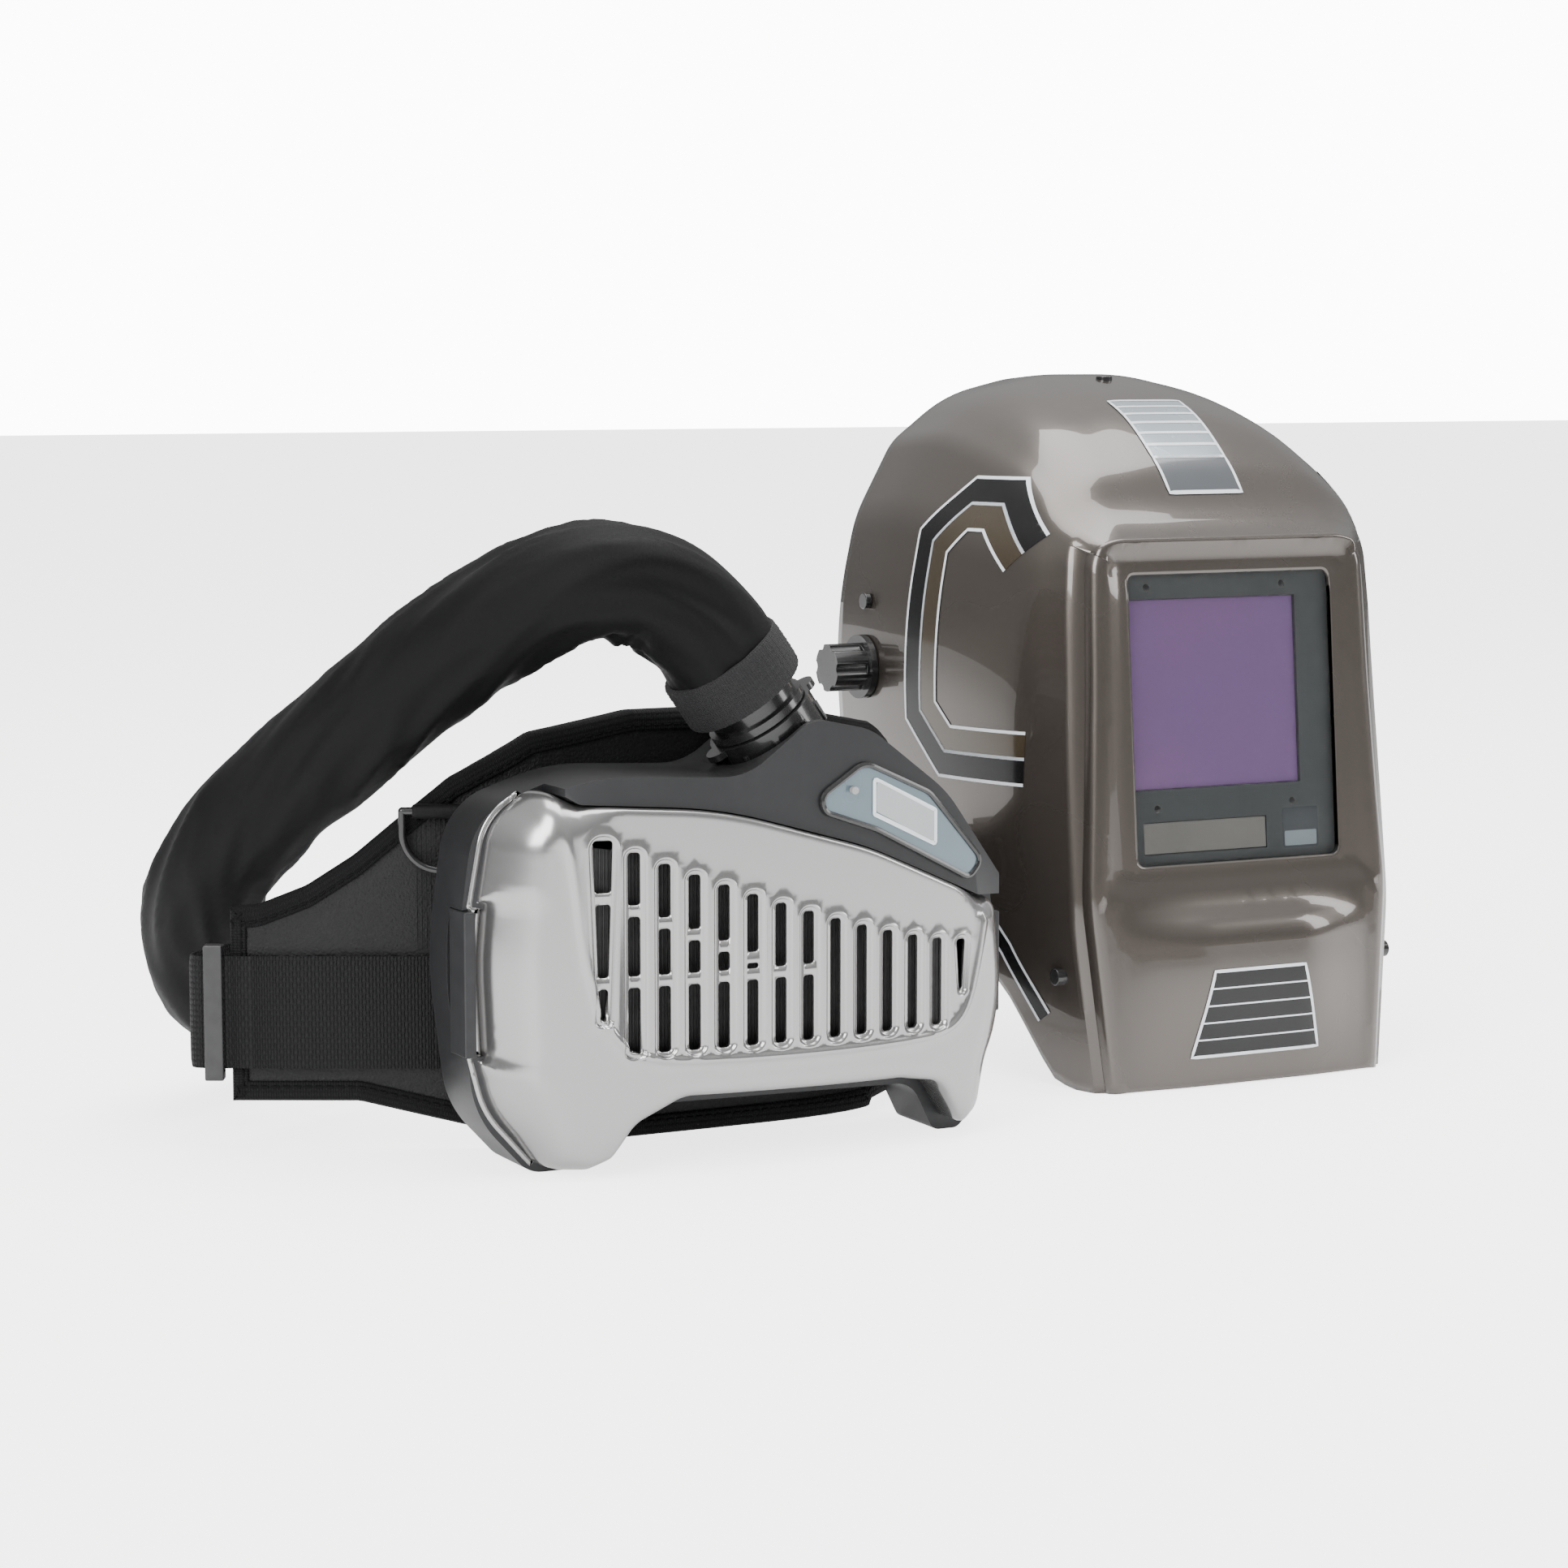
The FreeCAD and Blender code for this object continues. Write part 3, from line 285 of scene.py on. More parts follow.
class Groups:
    """Shader node groups that several finishes share."""

    def __init__(self) -> None:
        """Build each group once."""
        self.grain = self._grain()
        self.wear = self._wear()
        self.weave = self._weave()
        self.dust = self._dust()

    def _grain(self) -> bpy.types.NodeTree:
        """Moulded or sprayed texture: Height and a slow Mask."""
        tree, given, out = new_group("moulded_grain", {
            "Vector": ("NodeSocketVector", None), "Scale": ("NodeSocketFloat", 900.0),
            "Patches": ("NodeSocketFloat", 25.0)}, ["Height", "Mask"])
        fine = put(tree, "ShaderNodeTexNoise", {"Vector": given.outputs["Vector"],
                   "Scale": given.outputs["Scale"], "Detail": 3.0, "Roughness": 0.6})
        slow = put(tree, "ShaderNodeTexNoise", {"Vector": given.outputs["Vector"],
                   "Scale": given.outputs["Patches"], "Detail": 2.0})
        tree.links.new(fine.outputs[0], out.inputs["Height"])
        tree.links.new(slow.outputs[0], out.inputs["Mask"])
        return tree

    def _wear(self) -> bpy.types.NodeTree:
        """Rubbed edges: a Mask along convex edges, broken up by noise."""
        tree, given, out = new_group("edge_wear", {
            "Vector": ("NodeSocketVector", None), "Amount": ("NodeSocketFloat", 0.5)}, ["Mask"])
        shape = put(tree, "ShaderNodeNewGeometry")
        edge = put(tree, "ShaderNodeMapRange", {"Value": shape.outputs["Pointiness"],
                   "From Min": 0.53, "From Max": 0.62})
        patches = put(tree, "ShaderNodeTexNoise", {"Vector": given.outputs["Vector"],
                      "Scale": 140.0, "Detail": 4.0})
        broken = calc(tree, "MULTIPLY", edge.outputs[0], patches.outputs[0])
        tree.links.new(calc(tree, "MULTIPLY", broken, given.outputs["Amount"]),
                       out.inputs["Mask"])
        return tree

    def _weave(self) -> bpy.types.NodeTree:
        """Plain weave from a vector counted in threads: Height and a thread Mask."""
        tree, given, out = new_group("thread_weave", {
            "Vector": ("NodeSocketVector", None), "Across": ("NodeSocketFloat", 1.0),
            "Along": ("NodeSocketFloat", 1.0)}, ["Height", "Mask"])
        split = put(tree, "ShaderNodeSeparateXYZ", {0: given.outputs["Vector"]})
        u = calc(tree, "MULTIPLY", split.outputs[0], given.outputs["Across"])
        v = calc(tree, "MULTIPLY", split.outputs[1], given.outputs["Along"])
        heights = []
        for a, b, phase in ((u, v, 0.0), (v, u, 1.0)):
            lane = calc(tree, "ADD", calc(tree, "FLOOR", a), phase)
            round_ = calc(tree, "ABSOLUTE", calc(tree, "SINE", calc(tree, "MULTIPLY", a, math.pi)))
            over = calc(tree, "SINE", calc(tree, "MULTIPLY", calc(tree, "ADD", b, lane), math.pi))
            lifted = calc(tree, "MULTIPLY_ADD", over, 0.5, 0.5)
            heights.append(calc(tree, "MULTIPLY", round_, lifted))
        top = calc(tree, "MAXIMUM", heights[0], heights[1])
        tree.links.new(top, out.inputs["Height"])
        tree.links.new(calc(tree, "GREATER_THAN", heights[0], heights[1]), out.inputs["Mask"])
        return tree

    def _dust(self) -> bpy.types.NodeTree:
        """Thin dust on surfaces that look up: a Mask."""
        tree, given, out = new_group("settled_dust", {
            "Vector": ("NodeSocketVector", None), "Amount": ("NodeSocketFloat", 0.3)}, ["Mask"])
        shape = put(tree, "ShaderNodeNewGeometry")
        up = put(tree, "ShaderNodeSeparateXYZ", {0: shape.outputs["Normal"]})
        facing = put(tree, "ShaderNodeMapRange", {"Value": up.outputs[2], "From Min": 0.2})
        specks = put(tree, "ShaderNodeTexNoise", {"Vector": given.outputs["Vector"],
                     "Scale": 60.0, "Detail": 5.0, "Roughness": 0.7})
        layer = calc(tree, "MULTIPLY", facing.outputs[0], specks.outputs[0])
        tree.links.new(calc(tree, "MULTIPLY", layer, given.outputs["Amount"]),
                       out.inputs["Mask"])
        return tree


class Cloth(Enum):
    """Which vector a finish counts its threads along."""

    NONE = "none"
    OBJECT = "object"
    SURFACE = "uv"


@dataclass(frozen=True)
class Finish:
    """One material: its colours, gloss and fine texture."""

    name: str
    colour: Point3
    other: Point3 | None = None
    roughness: float = 0.45
    metallic: float = 0.0
    coat: float = 0.0
    coat_roughness: float = 0.08
    grain: float = 900.0
    patches: float = 25.0
    bump: float = 0.12
    depth: float = 0.0001
    wear: float = 0.25
    wear_colour: Point3 = (0.25, 0.25, 0.25)
    dust: float = 0.04
    sheen: float = 0.0
    cloth: Cloth = Cloth.NONE
    threads: Point2 = (1000.0, 1000.0)
    specular: float = 0.5

    def build(self, groups: Groups) -> bpy.types.Material:
        """Make the material.

        Args:
            groups: the shared shader groups.

        Returns:
            A node-based material with this finish's name.
        """
        material = bpy.data.materials.new(self.name)
        material.use_nodes = True
        tree = material.node_tree
        shader = tree.nodes["Principled BSDF"]
        place = put(tree, "ShaderNodeTexCoord")
        where = place.outputs["Object"]
        grain = put(tree, "ShaderNodeGroup", node_tree=groups.grain)
        tree.links.new(where, grain.inputs["Vector"])
        grain.inputs["Scale"].default_value = self.grain
        grain.inputs["Patches"].default_value = self.patches
        wear = put(tree, "ShaderNodeGroup", node_tree=groups.wear)
        tree.links.new(where, wear.inputs["Vector"])
        wear.inputs["Amount"].default_value = self.wear
        dust = put(tree, "ShaderNodeGroup", node_tree=groups.dust)
        tree.links.new(where, dust.inputs["Vector"])
        dust.inputs["Amount"].default_value = self.dust
        other = self.other or tuple(min(1.0, c * 1.18 + 0.004) for c in self.colour)
        base = put(tree, "ShaderNodeMix", {"Factor": grain.outputs["Mask"],
                   6: (*self.colour, 1), 7: (*other, 1)}, data_type="RGBA")
        rubbed = put(tree, "ShaderNodeMix", {"Factor": wear.outputs["Mask"],
                     6: base.outputs[2], 7: (*self.wear_colour, 1)}, data_type="RGBA")
        dusty = put(tree, "ShaderNodeMix", {"Factor": dust.outputs["Mask"],
                    6: rubbed.outputs[2], 7: (0.45, 0.43, 0.4, 1)}, data_type="RGBA")
        height = grain.outputs["Height"]
        colour = dusty.outputs[2]
        if self.cloth is not Cloth.NONE:
            weave = put(tree, "ShaderNodeGroup", node_tree=groups.weave)
            source = place.outputs["UV"] if self.cloth is Cloth.SURFACE else where
            tree.links.new(source, weave.inputs["Vector"])
            weave.inputs["Across"].default_value = self.threads[0]
            weave.inputs["Along"].default_value = self.threads[1]
            height = calc(tree, "MULTIPLY_ADD", grain.outputs["Height"], 0.25,
                          weave.outputs["Height"])
            # painted shade: the colour darkens in the hollows between threads, and a faint painted
            # highlight lightens their crests
            shade = calc(tree, "MULTIPLY_ADD", weave.outputs["Height"], 0.75, 0.4)
            shaded = put(tree, "ShaderNodeMix", {"Factor": 1.0, 6: colour, 7: shade},
                         data_type="RGBA", blend_type="MULTIPLY")
            colour = shaded.outputs[2]
        tree.links.new(colour, shader.inputs["Base Color"])
        rough = calc(tree, "MULTIPLY_ADD", grain.outputs["Mask"], 0.12, self.roughness - 0.06)
        tree.links.new(calc(tree, "ADD", rough, dust.outputs["Mask"]),
                       shader.inputs["Roughness"])
        bump = put(tree, "ShaderNodeBump", {"Strength": self.bump, "Distance": self.depth,
                   "Height": height})
        tree.links.new(bump.outputs[0], shader.inputs["Normal"])
        shader.inputs["Metallic"].default_value = self.metallic
        shader.inputs["Coat Weight"].default_value = self.coat
        shader.inputs["Coat Roughness"].default_value = self.coat_roughness
        shader.inputs["Sheen Weight"].default_value = self.sheen
        shader.inputs["Sheen Roughness"].default_value = 0.4
        shader.inputs["Specular IOR Level"].default_value = self.specular
        return material


@dataclass(frozen=True)
class Glass:
    """A clear or tinted pane."""

    name: str
    colour: Point3
    roughness: float = 0.01
    ior: float = 1.3

    def build(self, groups: Groups) -> bpy.types.Material:
        """Make the material; the pane has faint smears in its gloss."""
        material = bpy.data.materials.new(self.name)
        material.use_nodes = True
        tree = material.node_tree
        shader = tree.nodes["Principled BSDF"]
        place = put(tree, "ShaderNodeTexCoord")
        grain = put(tree, "ShaderNodeGroup", node_tree=groups.grain)
        tree.links.new(place.outputs["Object"], grain.inputs["Vector"])
        shader.inputs["Base Color"].default_value = (*self.colour, 1)
        shader.inputs["Transmission Weight"].default_value = 1.0
        shader.inputs["IOR"].default_value = self.ior
        tree.links.new(calc(tree, "MULTIPLY_ADD", grain.outputs["Mask"], 0.02, self.roughness),
                       shader.inputs["Roughness"])
        return material


PLAIN_BLACK = (0.005, 0.005, 0.0055)
FINISHES: tuple[Finish | Glass, ...] = (
    Finish("silver_paint", (0.36, 0.355, 0.355), (0.4, 0.395, 0.39), 0.22, 0.85, 0.6, 0.05,
           2600.0, 12.0, 0.1, 0.00004, 0.12, (0.8, 0.8, 0.8)),
    Finish("charcoal_plastic", (0.012, 0.0125, 0.0135), None, 0.36, specular=0.4,
           grain=1500.0, bump=0.3, depth=0.00005, wear_colour=(0.14, 0.14, 0.15)),
    Finish("black_gloss_plastic", PLAIN_BLACK, None, 0.22, coat=0.4, bump=0.04),
    Finish("screw_steel", (0.35, 0.35, 0.36), None, 0.35, 0.95, bump=0.05, wear=0.6),
    Finish("steel_mesh", (0.02, 0.02, 0.02), None, 0.5, 0.3, cloth=Cloth.OBJECT,
           threads=(1200.0, 1200.0), bump=0.8, depth=0.0004),
    Finish("filter_media", (0.05, 0.05, 0.05), None, 0.9, grain=500.0, bump=0.6, depth=0.0005),
    Finish("seal_rubber", (0.015, 0.015, 0.016), None, 0.6, bump=0.1),
    Finish("fan_plastic", (0.03, 0.03, 0.032), None, 0.5, bump=0.15),
    Finish("motor_steel", (0.42, 0.42, 0.43), None, 0.3, 0.9, bump=0.05),
    Finish("circuit", (0.015, 0.12, 0.05), (0.02, 0.17, 0.07), 0.35, grain=300.0),
    Finish("battery_case", (0.028, 0.028, 0.03), None, 0.5, bump=0.25),
    Finish("hose_rubber", (0.016, 0.016, 0.017), None, 0.5, bump=0.1),
    Finish("sleeve_fabric", (0.0035, 0.0035, 0.0038), (0.0055, 0.0055, 0.006), 0.55, grain=700.0,
           bump=0.35, depth=0.00012, sheen=0.03, wear=0.0, cloth=Cloth.SURFACE,
           threads=(2600.0, 2600.0), specular=0.13, dust=0.004),
    Finish("knit_band", (0.007, 0.007, 0.0075), (0.011, 0.011, 0.012), 0.8, bump=0.8,
           depth=0.0004, sheen=0.04, dust=0.01, wear=0.0, cloth=Cloth.SURFACE,
           threads=(900.0, 1400.0)),
    Finish("pad_leatherette", (0.0065, 0.0065, 0.007), (0.01, 0.01, 0.0105), 0.4, grain=950.0,
           bump=0.9, depth=0.0006, wear=0.02, specular=0.25, dust=0.004),
    Finish("woven_tape", (0.006, 0.006, 0.0065), None, 0.72, bump=0.9, depth=0.0005,
           sheen=0.01, dust=0.004, specular=0.15, wear=0.0, cloth=Cloth.SURFACE,
           threads=(800.0, 620.0)),
    Finish("webbing", (0.006, 0.006, 0.0065), None, 0.6, bump=1.0, depth=0.0006, sheen=0.02,
           wear=0.0, dust=0.004, specular=0.2, cloth=Cloth.SURFACE, threads=(560.0, 420.0)),
    Finish("buckle_plastic", (0.014, 0.014, 0.015), None, 0.33, bump=0.1),
    Finish("ring_black", (0.012, 0.012, 0.013), None, 0.25, 0.2, coat=0.5, bump=0.03),
    Finish("helmet_paint", (0.085, 0.072, 0.062), (0.1, 0.086, 0.075), 0.27, 0.65, 1.0, 0.03,
           3200.0, 9.0, 0.14, 0.00004, 0.05, (0.3, 0.28, 0.26)),
    Finish("shell_inside", (0.02, 0.02, 0.021), None, 0.6, bump=0.2),
    Finish("print_white", (0.74, 0.78, 0.82), None, 0.3, coat=0.8, bump=0.02, wear=0.0),
    Finish("print_black", (0.003, 0.003, 0.0035), None, 0.25, coat=0.35, specular=0.3,
           bump=0.02, wear=0.0),
    Finish("print_bronze", (0.05, 0.036, 0.02), (0.065, 0.048, 0.028), 0.25, 0.3, 1.0,
           bump=0.04, wear=0.0),
    Finish("print_blue_grey", (0.28, 0.33, 0.37), (0.34, 0.39, 0.43), 0.25, 0.2, 0.8,
           bump=0.03, wear=0.0),
    Finish("print_slate", (0.07, 0.075, 0.085), (0.09, 0.1, 0.11), 0.25, 0.2, 1.0,
           bump=0.03, wear=0.0),
    Finish("filter_frame", (0.055, 0.06, 0.064), None, 0.45, bump=0.2),
    Finish("filter_glass", (0.3, 0.2, 0.46), (0.36, 0.19, 0.4), 0.16, 0.35, 0.9, 0.03,
           40.0, 14.0, 0.01, wear=0.0, dust=0.0),
    Finish("solar_cell", (0.26, 0.245, 0.23), (0.2, 0.19, 0.18), 0.35, 0.3, 0.5, bump=0.03),
    Finish("headgear_plastic", (0.02, 0.02, 0.021), None, 0.45, bump=0.2),
    Finish("sweatband", (0.02, 0.02, 0.021), None, 0.85, bump=0.6, depth=0.0004,
           cloth=Cloth.OBJECT, threads=(700.0, 700.0), sheen=0.2),
    Finish("seal_cloth", (0.022, 0.022, 0.024), None, 0.8, bump=0.5, depth=0.0003,
           cloth=Cloth.OBJECT, threads=(900.0, 900.0), sheen=0.2),
    Finish("panel_film", (0.105, 0.155, 0.185), (0.15, 0.21, 0.245), 0.26, 0.35, 0.7, 0.05,
           2200.0, 30.0, 0.06, 0.00004, 0.0),
    Finish("display", (0.36, 0.39, 0.4), (0.44, 0.47, 0.48), 0.12, coat=0.8, bump=0.01),
    Finish("indicator", (0.32, 0.3, 0.3), None, 0.2, coat=0.8, bump=0.02),
    Glass("clear_lens", (0.86, 0.87, 0.86)),
)


# ------------------------------------------------------------------ workshop
@dataclass
class Workshop:
    """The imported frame, the layout's place in it, and every finish."""

    frame: dict
    finishes: dict[str, bpy.types.Material] = field(default_factory=dict)
    shift: Vector = field(default_factory=Vector)
    slots: dict[str, str] = field(default_factory=dict)

    def __post_init__(self) -> None:
        """Find the layout's zero from the fan shaft, and build the finishes."""
        low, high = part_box("motor_shaft")
        self.shift = (low + high) / 2 - Vector((-32.0, 51.0, 102.0)) * MM
        groups = Groups()
        self.finishes = {f.name: f.build(groups) for f in FINISHES}
        for row in self.frame["record"]["subparts"]:
            self.slots[row["node"]] = row["material_slot"]

    def at(self, x: float, y: float, z: float) -> Vector:
        """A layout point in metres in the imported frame."""
        return Vector((x, y, z)) * MM + self.shift

    def piece(self, name: str, verts: Sequence[Sequence[float]],
              faces: Sequence[Sequence[int]], finish: str, body: str,
              replaces: Sequence[str] = (), sharp: float = 35.0,
              outward: bool = True, uv: Sequence[Point2] | None = None) -> bpy.types.Object:
        """Make one named piece from layout millimetres.

        Args:
            name: the piece's name.
            verts: points in layout millimetres.
            faces: corner indices.
            finish: name of its finish.
            body: CAD body that it rides on.
            replaces: CAD nodes that it stands for.
            sharp: angle in degrees past which an edge stays crisp.
            outward: whether to recalculate its normals outwards.
            uv: one (u, v) for each vertex, in metres along the surface.

        Returns:
            The object, riding on its body.
        """
        mesh = bpy.data.meshes.new(name)
        mesh.from_pydata([self.at(*v) for v in verts], [], [tuple(f) for f in faces])
        mesh.validate()
        if uv is not None:
            layer = mesh.uv_layers.new(name="surface")
            corner = np.empty(len(mesh.loops), np.int32)
            mesh.loops.foreach_get("vertex_index", corner)
            layer.data.foreach_set("uv", np.array(uv, np.float32)[corner].ravel())
        return self.adopt(mesh, finish, body, replaces, sharp, outward)

    def adopt(self, mesh: bpy.types.Mesh, finish: str, body: str,
              replaces: Sequence[str] = (), sharp: float = 35.0,
              outward: bool = True) -> bpy.types.Object:
        """Turn a mesh into a dressed, riding piece that has the mesh's name."""
        if outward:
            work = bmesh.new()
            work.from_mesh(mesh)
            bmesh.ops.remove_doubles(work, verts=work.verts, dist=1e-6)
            bmesh.ops.recalc_face_normals(work, faces=work.faces)
            work.to_mesh(mesh)
            work.free()
        mesh.polygons.foreach_set("use_smooth", [True] * len(mesh.polygons))
        mesh.set_sharp_from_angle(angle=math.radians(sharp))
        mesh.materials.append(self.finishes[finish])
        shape = bpy.data.objects.new(mesh.name, mesh)
        bpy.context.scene.collection.objects.link(shape)
        self.ride(shape, body, replaces)
        return shape

    def ride(self, shape: bpy.types.Object, body: str,
             replaces: Sequence[str] = ()) -> None:
        """Hang a piece on its body and hide what it stands for."""
        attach(shape, body)
        if replaces:
            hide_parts(*replaces)
        LOG.info("piece %s on %s", shape.name, body)

    def dress_nodes(self) -> None:
        """Give every CAD node the finish of its record slot."""
        for name, node in self.frame["nodes"].items():
            finish = self.finishes[self.slots[name]]
            if node.material_slots:
                for held in node.material_slots:
                    held.material = finish
            else:
                node.data.materials.append(finish)


    def eased(self, node: str, width: float, body: str) -> bpy.types.Object:
        """Copy of a CAD node with its hard edges rounded, standing for the node.

        Args:
            node: CAD node.
            width: width of the rounding, in millimetres.
            body: body that it rides on.

        Returns:
            The new piece.
        """
        mesh = self.frame["nodes"][node].data.copy()
        mesh.name = node + "_eased"
        mesh.materials.clear()
        work = bmesh.new()
        work.from_mesh(mesh)
        bmesh.ops.remove_doubles(work, verts=work.verts, dist=2e-6)
        bmesh.ops.dissolve_limit(work, angle_limit=math.radians(1.2), verts=work.verts,
                                 edges=work.edges)
        work.to_mesh(mesh)
        work.free()
        slot = self.slots[node]
        shape = self.adopt(mesh, slot, body, (node,), 30.0, False)
        bevel = shape.modifiers.new("eased_edges", "BEVEL")
        bevel.width = width * MM
        bevel.segments = 2
        bevel.limit_method = "ANGLE"
        bevel.angle_limit = math.radians(32)
        bevel.use_clamp_overlap = True
        bevel.harden_normals = True
        return shape

    def cushioned(self, node: str, voxel: float, body: str) -> bpy.types.Object:
        """Rounded foam form grown from a CAD node, standing for the node."""
        mesh = self.frame["nodes"][node].data.copy()
        mesh.materials.clear()
        rough = bpy.data.objects.new(node + "_foam", mesh)
        bpy.context.scene.collection.objects.link(rough)
        remesh = rough.modifiers.new("cells", "REMESH")
        remesh.mode = "VOXEL"
        remesh.voxel_size = voxel * MM
        relax = rough.modifiers.new("relax", "SMOOTH")
        relax.factor = 0.5
        relax.iterations = 8
        done = finished_mesh(rough)
        bpy.data.objects.remove(rough)
        slot = self.slots[node]
        return self.adopt(done, slot, body, (node,), 80.0)


def finished_mesh(shape: bpy.types.Object) -> bpy.types.Mesh:
    """Plain mesh of an object with its modifiers or curve settings applied."""
    view = bpy.context.evaluated_depsgraph_get()
    mesh = bpy.data.meshes.new_from_object(shape.evaluated_get(view))
    mesh.name = shape.name
    return mesh


# ------------------------------------------------------------------ studio
@dataclass
class Studio:
    """Camera, soft lights and a plain pale floor."""

    azimuth: float = -27.0
    pitch: float = 6.6
    lens: float = 85.0
    camera_place: Point3 = (-674.0, -1356.9, 337.0)

    def build(self, shop: Workshop) -> None:
        """Place the camera, the lights and the floor."""
        data = bpy.data.cameras.new("camera")
        data.lens = self.lens
        data.sensor_width = 36.0
        data.clip_end = 50.0
        camera = bpy.data.objects.new("camera", data)
        camera.location = shop.at(*self.camera_place)
        camera.rotation_euler = (math.radians(90 - self.pitch), 0, math.radians(self.azimuth))
        bpy.context.scene.collection.objects.link(camera)
        bpy.context.scene.camera = camera
        self.floor()
        self.softbox("overhead", (0.1, -0.1, 2.2), (2.2, 1.6), 62.0, (0, 0, 0.1))
        self.softbox("left_key", (-2.2, -1.6, 1.5), (1.1, 1.8), 66.0, (0, 0, 0.15))
        self.softbox("right_fill", (2.3, -1.2, 1.3), (0.7, 1.8), 26.0, (0, 0, 0.15))
        self.surroundings()

    def surroundings(self) -> None:
        """White backdrop, brighter overhead than at the sides."""
        world = bpy.data.worlds.new("studio")
        world.use_nodes = True
        tree = world.node_tree
        place = put(tree, "ShaderNodeTexCoord")
        split = put(tree, "ShaderNodeSeparateXYZ", {0: place.outputs["Generated"]})
        ramp = put(tree, "ShaderNodeMapRange", {"Value": split.outputs[2], "From Min": -0.1,
                   "From Max": 0.9, "To Min": 0.1, "To Max": 0.85})
        path = put(tree, "ShaderNodeLightPath")
        seen = put(tree, "ShaderNodeMix", {"Factor": path.outputs["Is Camera Ray"],
                   2: ramp.outputs[0], 3: 12.0}, data_type="FLOAT")
        background = tree.nodes["Background"]
        background.inputs[0].default_value = (1, 1, 1, 1)
        tree.links.new(seen.outputs[0], background.inputs[1])
        bpy.context.scene.world = world

    def floor(self) -> None:
        """Wide pale floor under the set."""
        mesh = bpy.data.meshes.new("studio_floor")
        reach = 14.0
        corners = [(-reach, -reach, 0), (reach, -reach, 0), (reach, reach, 0), (-reach, reach, 0)]
        mesh.from_pydata(corners, [], [(0, 1, 2, 3)])
        floor = bpy.data.objects.new("studio_floor", mesh)
        bpy.context.scene.collection.objects.link(floor)
        material = bpy.data.materials.new("studio_floor")
        material.use_nodes = True
        shader = material.node_tree.nodes["Principled BSDF"]
        shader.inputs["Base Color"].default_value = (0.93, 0.93, 0.93, 1)
        shader.inputs["Roughness"].default_value = 0.55
        shader.inputs["Specular IOR Level"].default_value = 0.25
        shader.inputs["Emission Color"].default_value = (1, 1, 1, 1)
        path = put(material.node_tree, "ShaderNodeLightPath")
        glow = put(material.node_tree, "ShaderNodeMix", {"Factor": path.outputs[
            "Is Camera Ray"], 2: 0.6, 3: 3.0}, data_type="FLOAT")
        material.node_tree.links.new(glow.outputs[0], shader.inputs["Emission Strength"])
        mesh.materials.append(material)

    def softbox(self, name: str, place: Point3, size: Point2, power: float,
                target: Point3) -> None:
        """Rectangular light aimed at a point."""
        data = bpy.data.lights.new(name, "AREA")
        data.shape = "RECTANGLE"
        data.size, data.size_y = size
        data.energy = power
        light = bpy.data.objects.new(name, data)
        light.location = place
        aim = Vector(target) - Vector(place)
        light.rotation_euler = aim.to_track_quat("-Z", "Y").to_euler()
        bpy.context.scene.collection.objects.link(light)


